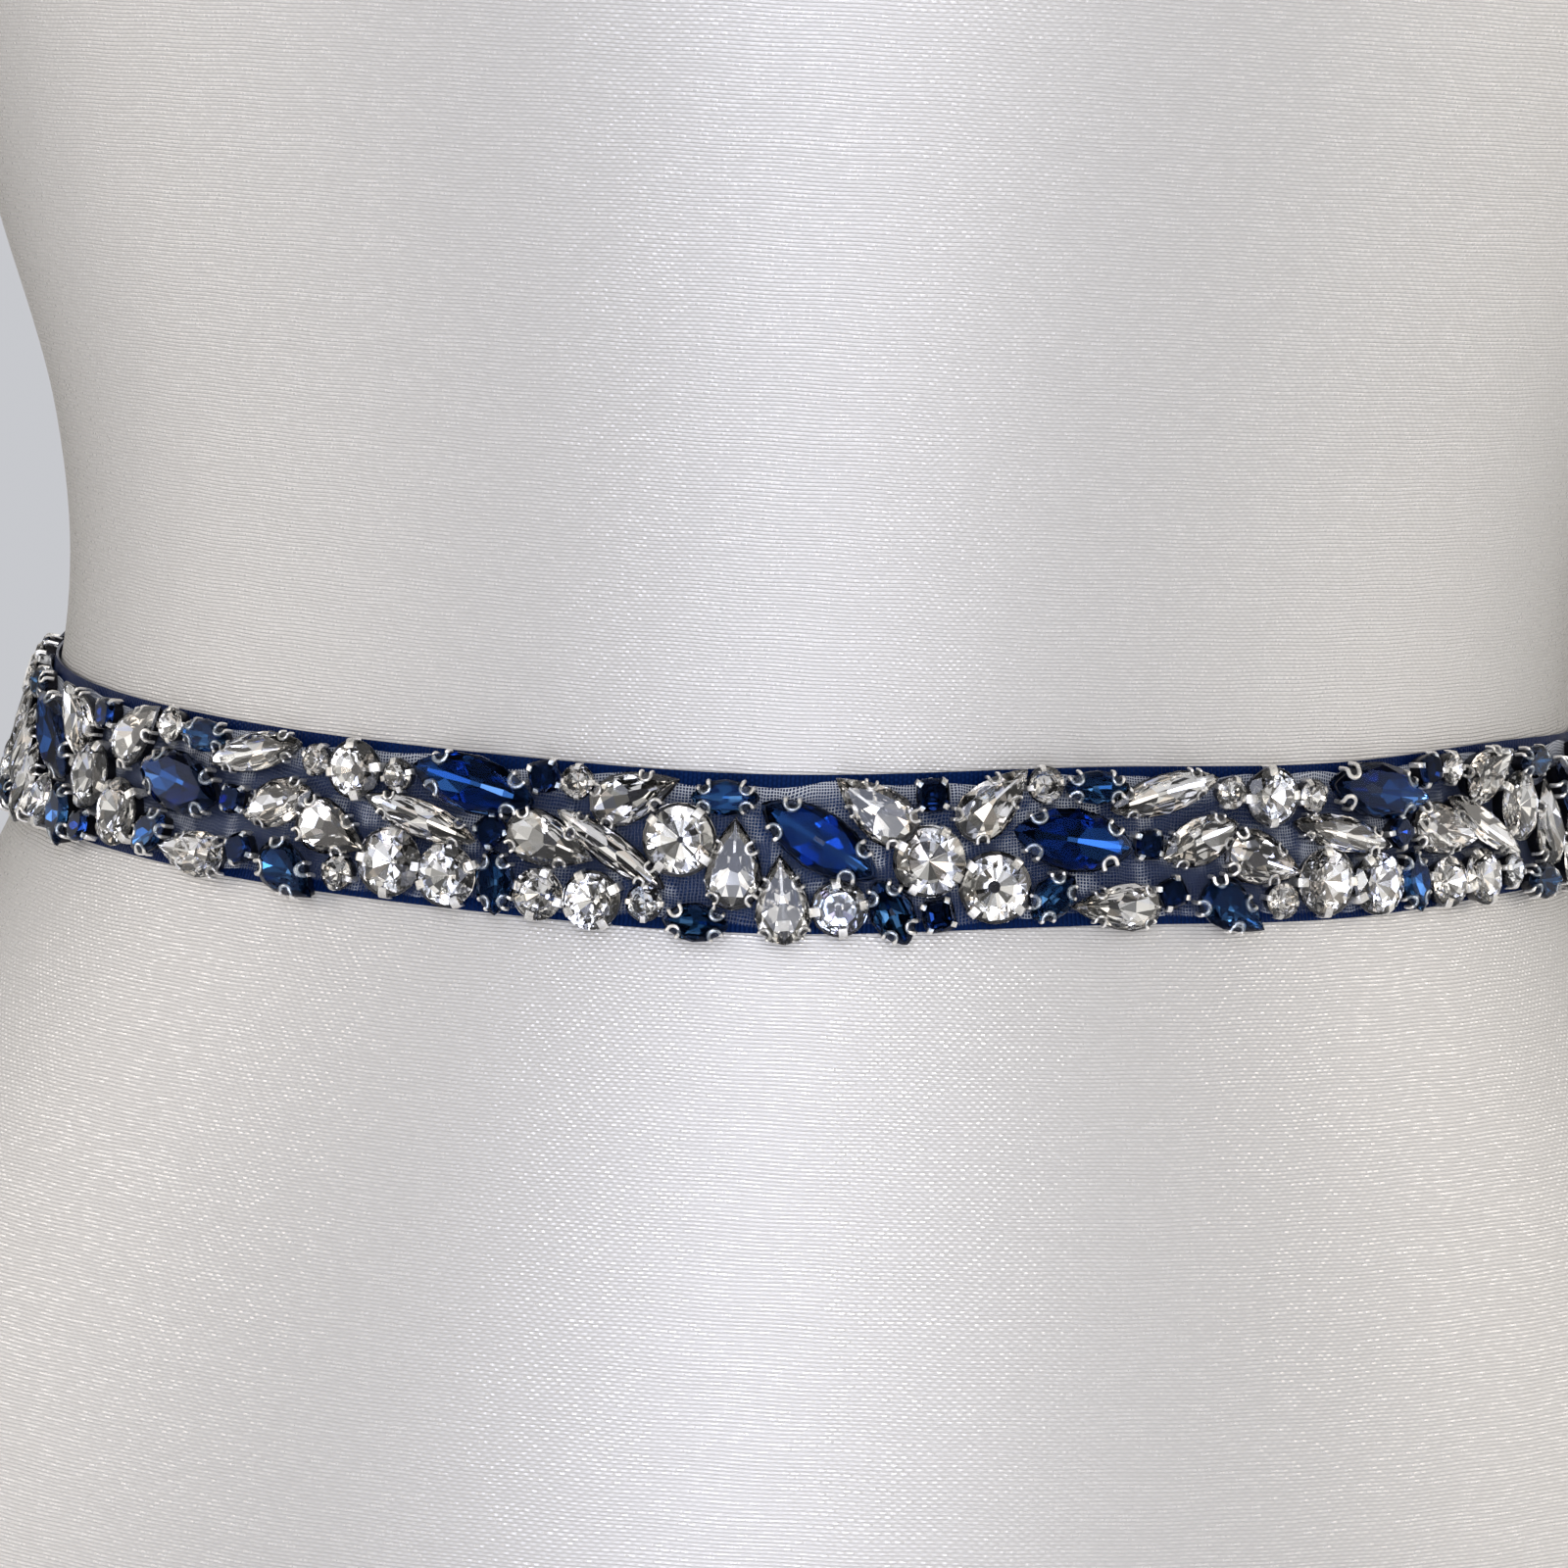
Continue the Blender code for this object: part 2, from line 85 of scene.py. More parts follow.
# Dress form sections: height from the waist, half width, depth to the front, depth to the back
FORM_SECTIONS = (
    (-230.0, 156.0, 106.0, 112.0),
    (-224.0, 164.0, 112.5, 118.0),
    (-205.0, 170.0, 116.5, 122.0),
    (-165.0, 171.0, 117.0, 124.0),
    (-120.0, 168.0, 113.0, 120.0),
    (-80.0, 157.0, 106.0, 111.0),
    (-48.0, 142.5, 98.5, 101.0),
    (-28.0, 132.5, 94.0, 95.0),
    (-11.0, 124.5, 90.1, 90.1),
    (0.0, 121.0, 89.0, 89.0),
    (11.0, 118.4, 88.0, 88.0),
    (27.0, 117.3, 89.0, 88.0),
    (50.0, 120.0, 93.0, 89.5),
    (82.0, 130.0, 101.0, 93.0),
    (120.0, 141.0, 112.0, 98.0),
    (160.0, 148.0, 119.0, 102.0),
    (200.0, 152.0, 117.0, 105.0),
    (245.0, 155.0, 105.0, 106.0),
    (285.0, 157.0, 92.0, 105.0),
    (320.0, 157.0, 80.0, 100.0),
    (348.0, 148.0, 70.0, 92.0),
    (368.0, 130.0, 62.0, 82.0),
    (384.0, 106.0, 56.0, 72.0),
    (398.0, 83.0, 51.0, 63.0),
    (414.0, 66.0, 48.0, 56.0),
    (432.0, 59.0, 47.0, 52.0),
    (456.0, 57.0, 47.0, 51.0),
    (470.0, 54.0, 44.0, 48.0),
    (474.0, 48.0, 39.0, 43.0),
)

# Crystal trim: stones of one repeat, with their cut, place along, height across, length, width,
# turn of the long axis in degrees, and colour
REPEAT_LENGTH = 132.0
REPEAT_COUNT = 4
TRIM_CENTRE = -5.5
STONES = (
    ("navette", 6.5, 2.4, 18.0, 8.0, 147.0, "navy"),
    ("pear", 13.9, 6.7, 12.5, 7.0, 141.0, "clear"),
    ("square", 21.8, 8.3, 4.5, 4.5, 0.0, "night"),
    ("pear", 30.4, 7.0, 12.0, 7.0, 43.0, "clear"),
    ("round", 21.5, -0.8, 9.3, 9.3, 100.0, "clear"),
    ("round", 30.5, -4.8, 9.3, 9.3, 80.0, "clear"),
    ("navette", 16.6, -7.7, 9.5, 6.0, 115.0, "slate"),
    ("round", 9.6, -7.0, 7.3, 7.3, 45.0, "frost"),
    ("pear", 2.0, -5.8, 11.5, 7.2, 94.0, "clear"),
    ("square", 22.8, -8.3, 4.5, 4.5, 10.0, "night"),
    ("round", 37.6, 9.1, 4.8, 4.8, 40.0, "clear"),
    ("navette", 44.9, 8.6, 9.2, 4.6, 179.0, "slate"),
    ("navette", 41.6, 1.4, 17.0, 8.5, 170.0, "navy"),
    ("navette", 38.4, -6.4, 8.0, 5.5, 43.0, "slate"),
    ("pear", 47.2, -8.0, 12.0, 6.2, 179.0, "clear"),
    ("square", 52.4, 0.5, 4.0, 4.0, 0.0, "night"),
    ("navette", 54.8, 7.6, 15.2, 5.2, 16.0, "clear"),
    ("round", 65.1, 7.7, 4.2, 4.2, 20.0, "clear"),
    ("round", 71.5, 7.1, 7.7, 7.7, 130.0, "clear"),
    ("round", 78.3, 7.0, 4.4, 4.4, 50.0, "clear"),
    ("navette", 60.1, 1.0, 11.4, 6.3, 23.0, "clear"),
    ("pear", 69.6, -1.8, 11.5, 7.2, -18.0, "clear"),
    ("round", 71.9, -7.5, 4.6, 4.6, 15.0, "clear"),
    ("pear", 64.2, -8.5, 10.7, 6.8, -32.0, "slate"),
    ("square", 55.4, -6.2, 4.2, 4.2, 25.0, "night"),
    ("round", 79.3, -5.1, 9.0, 9.0, 130.0, "clear"),
    ("round", 88.0, -6.0, 8.2, 8.2, 145.0, "clear"),
    ("navette", 82.9, 1.4, 16.5, 4.8, 165.0, "clear"),
    ("navette", 90.0, 7.0, 18.0, 7.8, 169.0, "navy"),
    ("square", 93.3, 0.8, 4.2, 4.2, 40.0, "night"),
    ("navette", 94.9, -6.2, 8.8, 5.3, 97.0, "slate"),
    ("square", 99.9, 9.0, 4.4, 4.4, 15.0, "night"),
    ("round", 104.7, 8.7, 4.4, 4.4, 30.0, "clear"),
    ("pear", 113.0, 7.6, 12.2, 6.7, 23.0, "clear"),
    ("round", 119.6, 1.9, 9.5, 9.5, 95.0, "clear"),
    ("navette", 125.4, 8.0, 9.2, 4.8, 181.0, "slate"),
    ("pear", 101.9, 0.1, 12.3, 7.0, -17.0, "clear"),
    ("navette", 110.4, -0.1, 17.0, 4.4, 148.0, "clear"),
    ("round", 101.2, -7.2, 6.7, 6.7, 110.0, "clear"),
    ("round", 108.6, -7.3, 7.6, 7.6, 60.0, "clear"),
    ("round", 115.7, -7.1, 4.8, 4.8, 25.0, "frost"),
    ("navette", 122.7, -9.3, 9.0, 5.2, 177.0, "slate"),
    ("pear", 127.2, -1.0, 12.0, 7.4, 89.0, "clear"),
)
CLEAR_COLOURS = ("clear", "frost")
WIRED_CUTS = ("navette", "pear")
SMALL_STONE = 5.5
LONG_SHAPE = 1.15
STONE_SEED = 7
STONE_TILT = 4.0
STONE_SINK = 0.15
STONE_RISE = 0.25
# Foil behind the facets, each facet in its own shade as a painted reflection, from dark to light: how often
# each shade comes up, red, green, blue; on the navy, slate and night stones the shades also carry the stones'
# own colour
FOILS_AND_REFLECTIONS = {
    "clear": (
        (2, 0.18, 0.18, 0.19),
        (4, 0.44, 0.44, 0.43),
        (1, 0.68, 0.72, 0.88),
        (4, 0.78, 0.77, 0.75),
        (2, 0.93, 0.85, 0.76),
        (7, 0.99, 0.98, 0.96),
    ),
    "frost": (
        (1, 0.40, 0.44, 0.55),
        (1, 0.75, 0.68, 0.90),
        (3, 0.72, 0.80, 0.95),
        (8, 0.98, 0.99, 1.00),
    ),
    "navy": (
        (3, 0.006, 0.022, 0.075),
        (4, 0.012, 0.050, 0.170),
        (4, 0.034, 0.118, 0.350),
        (1, 0.130, 0.300, 0.680),
    ),
    "slate": (
        (4, 0.008, 0.022, 0.052),
        (4, 0.020, 0.070, 0.160),
        (2, 0.070, 0.170, 0.320),
    ),
    "night": (
        (5, 0.003, 0.006, 0.018),
        (2, 0.006, 0.020, 0.090),
        (1, 0.020, 0.070, 0.340),
    ),
}
# Rings of a cut stone: points, radius, height as a share of the crown or of the depth, turn in steps
ROUND_RINGS = (
    (8, 0.31, 1.0, 0.5),
    (8, 0.42, 0.62, 0.0),
    (24, 0.5, 0.12, 0.0),
    (24, 0.5, -0.05, 0.0),
    (12, 0.27, -0.55, 0.5),
    (3, 0.012, -1.0, 0.0),
)
LONG_RINGS = (
    (8, 0.37, 1.0, 0.5),
    (8, 0.45, 0.60, 0.0),
    (16, 0.5, 0.20, 0.0),
    (16, 0.5, -0.03, 0.0),
    (8, 0.25, -0.62, 0.5),
    (4, 0.06, -0.98, 0.5),
)
# Entries of the darkest foil shades, painted reflections, that long clear stones go without
LONG_STONE_SKIPS = 5
# Places of glass and foil in a stone's list of materials
GLASS = 0
FOIL = 1
# Faces lower than this, as a share of the depth, are foiled; the others are glass
FOIL_LEVEL = -0.045
# Facets that meet at less than this angle are one facet
FACET_ANGLE = math.radians(4.0)
# Stone sizes against the table, for stones with a clear foil and for the others; and girdle over the cup
CLEAR_FULLNESS = 1.06
DARK_FULLNESS = 1.02
GIRDLE_FULLNESS = 1.03

# Outlines: fullness powers of the navette and the square, and half width of the plain pear formula
NAVETTE_POWER = 1.55
SQUARE_POWER = 0.55
PEAR_HALF_WIDTH = 0.77

# Places of the setting's metals in its list of materials; the dark one also serves the plates of painted
# shade in the loops' eyes
BRIGHT_METAL = 0
DARK_METAL_AND_PAINTED_SHADE = 1
# Cup under a stone: sides, wall in mm, share of the stone at its foot and rim, least half width
CUP_SIDES = 20
CUP_WALL = 0.22
CUP_FOOT = 0.84
CUP_RIM = 0.97
CUP_LEAST = 0.3
# Turns of the four loops round the long cuts, in degrees, and smaller loops on clear stones
LOOP_TURNS = {
    "navette": (49.0, 131.0, 229.0, 311.0),
    "pear": (68.0, 143.0, 217.0, 292.0),
}
CLEAR_LOOP_SCALE = 0.8
TAB_SCALE = 1.1
SMALL_TAB_SCALE = 0.66
# Flat tab: inward place and height over the girdle of each bend, then thickness and soft edge
TAB_BENDS = (
    (0.18, 0.22),
    (-0.25, 0.50),
    (-0.95, 0.72),
)
TAB_THICKNESS = 0.2
TAB_EDGE = 0.06

# Wire loop of a setting, seen from the stone: inward, sideways, height over the girdle
LOOP_RADIUS = 0.98
LOOP_REACH = 0.88
LOOP_INSET = 0.42
LOOP_LIFT = 0.40

# Bow: path of a loop, distance from the knot's middle, distance off the form, half width, droop
LOOP_PATH = (
    (9.0, 4.9, 4.4, 0.0),
    (18.0, 4.7, 7.8, 0.4),
    (30.0, 4.9, 10.3, 1.6),
    (44.0, 6.3, 11.0, 3.6),
    (56.0, 8.7, 11.0, 6.0),
    (62.5, 11.8, 11.0, 7.4),
    (64.0, 15.5, 11.0, 7.8),
    (61.0, 19.6, 11.0, 7.2),
    (53.0, 21.9, 11.0, 5.4),
    (42.0, 20.8, 11.0, 3.2),
    (29.0, 17.0, 10.1, 1.4),
    (18.0, 13.0, 7.4, 0.3),
    (9.0, 9.8, 4.4, 0.0),
)
# Path of a tail: fall below the knot's foot, distance from the middle, distance off the form, half width
TAIL_PATH = (
    (-2.5, 4.7, 2.8, 4.0),
    (8.0, 6.8, 2.9, 5.9),
    (18.0, 10.6, 2.7, 8.5),
    (32.0, 16.2, 1.9, 10.5),
    (52.0, 22.4, 1.7, 11.0),
    (78.0, 28.0, 2.5, 11.0),
    (106.0, 32.5, 3.5, 11.0),
    (134.0, 36.0, 2.5, 11.0),
    (160.0, 40.0, 1.7, 11.0),
    (182.0, 44.0, 1.9, 11.0),
)
LOOP_LENGTH = 132.0
TAIL_LENGTH = 196.0
TAIL_TURN = 12.0
TAIL_CUT = 11.0
TAIL_OFF = 0.5
KNOT_LENGTH = 52.0
KNOT_HALF_WIDTH = 10.0
KNOT_HALF_HEIGHT = 10.5
KNOT_DEPTH = 11.0
# The bow's cloth is folded double in places: its thickness against the ribbon's
BOW_THICKNESS = 1.5

# Meshes of the cloth pieces: steps along and across
COVER_GRID = (176, 232)
BAND_GRID = (360, 24)
ORGANZA_GRID = (264, 24)
BOW_GRID = (96, 28)
KNOT_GRID = (64, 28)

# Thickness of the cloth that the form's cover is cut from, in metres
COVER_THICKNESS = 0.0008
# Neck's closed end: shrink of each ring and its rise in mm
NECK_RINGS = (
    (0.93, 2.2),
    (0.75, 1.4),
    (0.4, 1.0),
    (0.02, 0.4),
)
# Foot board: thickness and inset from the form's edge
FOOT_THICKNESS = 6.0
FOOT_INSET = 3.0

# Cover: tone of the rib valleys, darkened as painted shade, and of the glints, lightened as painted
# highlight; roughness and how much smoother a glint is, relief in metres
COVER_PAINTED_VALLEY_SHADE = 0.86
COVER_PAINTED_GLINT = 1.12
COVER_ROUGH = 0.44
GLINT_SHINE = 0.28
COVER_RELIEF = 0.00014
# Ribbon: painted highlight on the lit ribs, as brightness against its colour; tint of its gloss, and where
# its selvedge starts in mm
RIBBON_PAINTED_HIGHLIGHT = 2.3
RIBBON_GLOSS = (0.05, 0.12, 0.31, 1.0)
RIBBON_MIDDLE = 11.0
SELVEDGE_START = 8.4
SELVEDGE_FULL = 9.2
# Organza: threads a mm apart, cover of single and folded cloth, and its doubled upper edge in mm
ORGANZA_PITCH = 0.44
ORGANZA_SINGLE = 0.11
ORGANZA_FOLDED = 0.62
ORGANZA_EDGE_START = 15.6
ORGANZA_EDGE_FULL = 18.4
# Cut glass: colours and tints of the gloss, refraction; and the smoothness of the foil
CLEAR_GLASS = (0.99, 0.99, 0.985, 1.0)
CLEAR_GLOSS = (1.0, 1.0, 1.0, 1.0)
NAVY_GLASS = (0.70, 0.80, 0.94, 1.0)
NAVY_GLOSS = (0.06, 0.14, 0.42, 1.0)
GLASS_REFRACTION = 1.56
FOIL_ROUGHNESS = 0.06

# Soft lights: name, place in metres, height they aim at, lean in degrees, width, height, watts, colour
LIGHTS = (
    ("key", (-0.10, -0.80, 0.50), 0.50, 11.0, 0.28, 0.96, 3.1, (0.76, 0.81, 1.0)),
    ("low", (-0.01, -0.45, 0.06), 0.37, 0.0, 0.26, 0.10, 0.10, (0.82, 0.84, 1.0)),
    ("flash", (0.12, -0.74, 0.44), 0.23, 0.0, 0.12, 0.12, 0.7, (1.0, 1.0, 1.0)),
    ("left", (-1.40, -0.38, 0.50), 0.23, 0.0, 1.3, 0.8, 6.0, (1.0, 0.94, 0.88)),
    ("right", (1.40, -0.38, 0.55), 0.23, 0.0, 1.3, 0.8, 6.2, (1.0, 0.94, 0.87)),
    ("back", (0.2, 1.4, 1.1), 0.23, 0.0, 0.9, 0.9, 9.0, (1.0, 1.0, 1.0)),
)
FLOOR_RADIUS = 1.15
BACKDROP = (0.57, 0.58, 0.61, 1.0)

# Camera: place from the waist in mm, degrees down and rolled, focal length and width of the photo in pixels
CAMERA_PLACE = (-4.2, -688.0, 99.8)
CAMERA_PITCH = 8.6
CAMERA_ROLL = 2.9
FOCAL_PIXELS = 4482.0
PHOTO_PIXELS = 1600.0
FILM_WIDTH = 36.0


class SashSizes(bpy.types.PropertyGroup):
    ribbon_width: bpy.props.FloatProperty(
        name="Ribbon width", description="Width of the satin ribbon",
        default=0.022, unit="LENGTH")
    ribbon_thickness: bpy.props.FloatProperty(
        name="Ribbon thickness", description="Thickness of the satin",
        default=0.0004, unit="LENGTH")
    ribbon_lift: bpy.props.FloatProperty(
        name="Ribbon lift", description="Gap between the form and the ribbon",
        default=0.0005, unit="LENGTH")
    sheer_thickness: bpy.props.FloatProperty(
        name="Organza thickness", description="Thickness of the sheer strip",
        default=0.00012, unit="LENGTH")
    sheer_lift: bpy.props.FloatProperty(
        name="Organza lift", description="Height of the sheer strip over the form",
        default=0.0013, unit="LENGTH")
    sheer_half_width: bpy.props.FloatProperty(
        name="Organza half width", description="Half width of the sheer strip",
        default=0.0096, unit="LENGTH")
    girdle_lift: bpy.props.FloatProperty(
        name="Girdle lift", description="Height of a stone's widest line over the organza",
        default=0.0021, unit="LENGTH")
    crown_height: bpy.props.FloatProperty(
        name="Crown height", description="Height of a large stone over its widest line",
        default=0.00115, unit="LENGTH")
    wire: bpy.props.FloatProperty(
        name="Wire", description="Thickness of a setting's wire loops",
        default=0.00068, unit="LENGTH")
    rib_pitch: bpy.props.FloatProperty(
        name="Rib pitch", description="Distance between two ribs of the form's cover",
        default=0.00054, unit="LENGTH")


class SashColours(bpy.types.PropertyGroup):
    cover: bpy.props.FloatVectorProperty(
        name="Form cover", description="Stretch satin on the dress form", subtype="COLOR", size=4,
        default=(0.69, 0.668, 0.636, 1.0))
    ribbon: bpy.props.FloatVectorProperty(
        name="Ribbon", description="Navy satin of the ribbon", subtype="COLOR", size=4,
        default=(0.001, 0.0065, 0.038, 1.0))
    sheer: bpy.props.FloatVectorProperty(
        name="Organza", description="Sheer strip under the stones", subtype="COLOR", size=4,
        default=(0.40, 0.45, 0.56, 1.0))
    sheer_light: bpy.props.FloatVectorProperty(
        name="Organza light", description="Lighter threads of the sheer strip", subtype="COLOR", size=4,
        default=(0.66, 0.69, 0.75, 1.0))
    silver: bpy.props.FloatVectorProperty(
        name="Prongs", description="Silver plate of the prongs", subtype="COLOR", size=4,
        default=(0.95, 0.925, 0.875, 1.0))
    # The cups' darkened silver also colours the plates of painted shade in the wire loops' eyes.
    cups_and_painted_shade: bpy.props.FloatVectorProperty(
        name="Cups", description="Darkened silver of the cups", subtype="COLOR", size=4,
        default=(0.03, 0.03, 0.036, 1.0))
    floor: bpy.props.FloatVectorProperty(
        name="Floor", description="Plain studio floor", subtype="COLOR", size=4,
        default=(0.72, 0.73, 0.75, 1.0))


def smooth_columns(places, columns, wanted):
    """Values of a table's columns at wanted places, read from smooth curves through its rows."""
    row = np.clip(np.searchsorted(places, wanted) - 1, 0, len(places) - 2)
    span = places[row + 1] - places[row]
    share = np.clip((wanted - places[row]) / span, 0.0, 1.0)
    start = 2 * share ** 3 - 3 * share ** 2 + 1
    values = []
    for column in columns:
        slope = np.gradient(column, places)
        values.append(start * column[row] + (1 - start) * column[row + 1]
                      + span * slope[row] * (share ** 3 - 2 * share ** 2 + share)
                      + span * slope[row + 1] * (share ** 3 - share ** 2))
    return values


def form_table():
    """Half width, front depth and back depth of the form at every half millimetre of height."""
    heights, *columns = (np.array(column) for column in zip(*FORM_SECTIONS))
    fine = np.arange(heights[0], heights[-1] + 0.25, 0.5)
    return fine, smooth_columns(heights, columns, fine)


FORM_HEIGHTS, FORM_SIZES = form_table()


def on_form(angle, height, off):
    """Points at angles from the centre front and heights, a distance out from the form, in millimetres."""
    half_width, front, back = (np.interp(height, FORM_HEIGHTS, size) for size in FORM_SIZES)
    depth = np.where(np.cos(angle) > 0, front, back)
    x = half_width * np.sin(angle)
    y = -depth * np.cos(angle)
    out = np.stack([x / half_width ** 2, y / depth ** 2], axis=-1)
    out /= np.linalg.norm(out, axis=-1, keepdims=True)
    return np.stack([x + off * out[..., 0], y + off * out[..., 1], height + 0 * x], axis=-1)


def on_form_back(across, height, off):
    """Points at distances across the back of the form, a distance out from it."""
    half_width = np.interp(height, FORM_HEIGHTS, FORM_SIZES[0])
    return on_form(math.pi - np.arcsin(across / half_width), height, off)


def ribbon_rise(angle):
    """Height of the ribbon's centre line round the waist: up at the back, with its small waves."""
    rise = 0.5 * RIBBON_BACK_RISE * (1 - np.cos(angle)) + RIBBON_SIDE_SWAY * np.sin(2 * angle)
    turned = (np.degrees(angle) + 180.0) % 360.0 - 180.0
    for place, half_length, height in RIBBON_WAVES:
        rise = rise + height * np.exp(-((turned - place) / half_length) ** 2)
    return rise


def waist_lengths():
    """Angles round the waist, and the length of cloth from the centre front to each of them."""
    angles = np.linspace(-math.pi, math.pi, 721)
    points = on_form(angles, np.zeros_like(angles), 0.0)
    steps = np.linalg.norm(np.diff(points, axis=0), axis=1)
    lengths = np.concatenate([[0.0], np.cumsum(steps)])
    return angles, lengths - np.interp(0.0, angles, lengths)


WAIST_ANGLES, WAIST_LENGTHS = waist_lengths()
WAIST_ROUND = float(WAIST_LENGTHS[-1] - WAIST_LENGTHS[0])


def on_ribbon(along, across, off):
    """Points along and across the ribbon from its centre front, a distance out from the form."""
    angle = np.interp(along, WAIST_LENGTHS, WAIST_ANGLES)
    return on_form(angle, across + ribbon_rise(angle), off)


def stone_frame(along, across, off):
    """Place and directions on the ribbon: along it, up across it and straight out of it."""
    step = 0.5
    place = Vector(on_ribbon(along, across, off))
    right = (Vector(on_ribbon(along + step, across, off)) - place).normalized()
    up = (Vector(on_ribbon(along, across + step, off)) - place).normalized()
    out = right.cross(up).normalized()
    up = out.cross(right)
    return Matrix(((right.x, up.x, out.x, place.x), (right.y, up.y, out.y, place.y),
                   (right.z, up.z, out.z, place.z), (0.0, 0.0, 0.0, 1.0)))


def smooth_path(path, share):
    """Values of a path's columns at shares of its length, read from a smooth curve through its rows."""
    rows = np.array(path)
    steps = np.linalg.norm(np.diff(rows[:, :2], axis=0), axis=1)
    places = np.concatenate([[0.0], np.cumsum(steps)])
    places /= places[-1]
    return smooth_columns(places, rows.T, share)


def add_sheet(name, columns, rows, place, size, closed=False):
    """A sheet of cloth: a grid primitive laid where place puts it, with its size in mm as its UV map."""
    bpy.ops.object.select_all(action="DESELECT")
    bpy.ops.mesh.primitive_grid_add(x_subdivisions=columns, y_subdivisions=rows, size=2.0, calc_uvs=True)
    sheet = bpy.context.object
    sheet.name = name
    mesh = sheet.data
    mesh.name = name
    flat = np.empty(3 * len(mesh.vertices))
    mesh.vertices.foreach_get("co", flat)
    shares = (flat.reshape(-1, 3)[:, :2] + 1) / 2
    points = place(shares[:, 0], shares[:, 1])
    points[:, 2] += WAIST_HEIGHT
    mesh.vertices.foreach_set("co", (MM * points).ravel())
    layer = mesh.uv_layers[0]
    layer.name = "cloth"
    uv = np.empty(2 * len(mesh.loops))
    layer.data.foreach_get("uv", uv)
    layer.data.foreach_set("uv", (uv.reshape(-1, 2) * np.array(size)).ravel())
    if closed:
        bpy.ops.object.mode_set(mode="EDIT")
        bpy.ops.mesh.select_all(action="SELECT")
        bpy.ops.mesh.remove_doubles(threshold=1e-6)
        bpy.ops.object.mode_set(mode="OBJECT")
    mesh.update()
    return sheet


def thicken(piece, thickness, offset):
    """Give a sheet its thickness, and smooth shading but at its cut edges."""
    wall = piece.modifiers.new("Thickness", "SOLIDIFY")
    wall.thickness = thickness
    wall.offset = offset
    bpy.context.view_layer.objects.active = piece
    bpy.ops.object.modifier_apply(modifier=wall.name)
    bpy.ops.object.select_all(action="DESELECT")
    piece.select_set(True)
    bpy.ops.object.shade_smooth_by_angle(angle=math.radians(40.0))


def dress(piece, material, slot, *replaced):
    """Give a piece its material, let it ride on the body, and hide the nodes it stands for; the slot is not
    used.
    """
    if material is not None:
        piece.data.materials.clear()
        piece.data.materials.append(material)
    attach(piece, BODY)
    if replaced:
        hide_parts(*replaced)


def add_node(tree, kind, inputs=None, **settings):
    """A shader node with its settings, and its inputs linked or set."""
    node = tree.nodes.new(kind)
    for key, value in settings.items():
        setattr(node, key, value)
    for key, value in (inputs or {}).items():
        if isinstance(value, bpy.types.NodeSocket):
            tree.links.new(value, node.inputs[key])
        else:
            node.inputs[key].default_value = value
    return node


def maths(tree, operation, *values):
    """The output of a Math node."""
    return add_node(tree, "ShaderNodeMath", dict(enumerate(values)), operation=operation).outputs[0]


def mix_colours(tree, share, first, second):
    """The output of a colour Mix node."""
    mixer = add_node(tree, "ShaderNodeMix", {"Factor": share}, data_type="RGBA")
    for socket, value in ((mixer.inputs[6], first), (mixer.inputs[7], second)):
        if isinstance(value, bpy.types.NodeSocket):
            tree.links.new(value, socket)
        else:
            socket.default_value = value
    return mixer.outputs[2]


def new_material(name):
    """A material, its node tree and its Principled shader."""
    material = bpy.data.materials.new(name)
    material.use_nodes = True
    return material, material.node_tree, material.node_tree.nodes["Principled BSDF"]


def new_group(name, inputs, outputs):
    """A shader node group with float or vector sockets, and its two ends."""
    tree = bpy.data.node_groups.new(name, "ShaderNodeTree")
    for label, kind, value in inputs:
        socket = tree.interface.new_socket(name=label, in_out="INPUT", socket_type=kind)
        if value is not None:
            socket.default_value = value
    for label in outputs:
        tree.interface.new_socket(name=label, in_out="OUTPUT", socket_type="NodeSocketFloat")
    return tree, tree.nodes.new("NodeGroupInput"), tree.nodes.new("NodeGroupOutput")


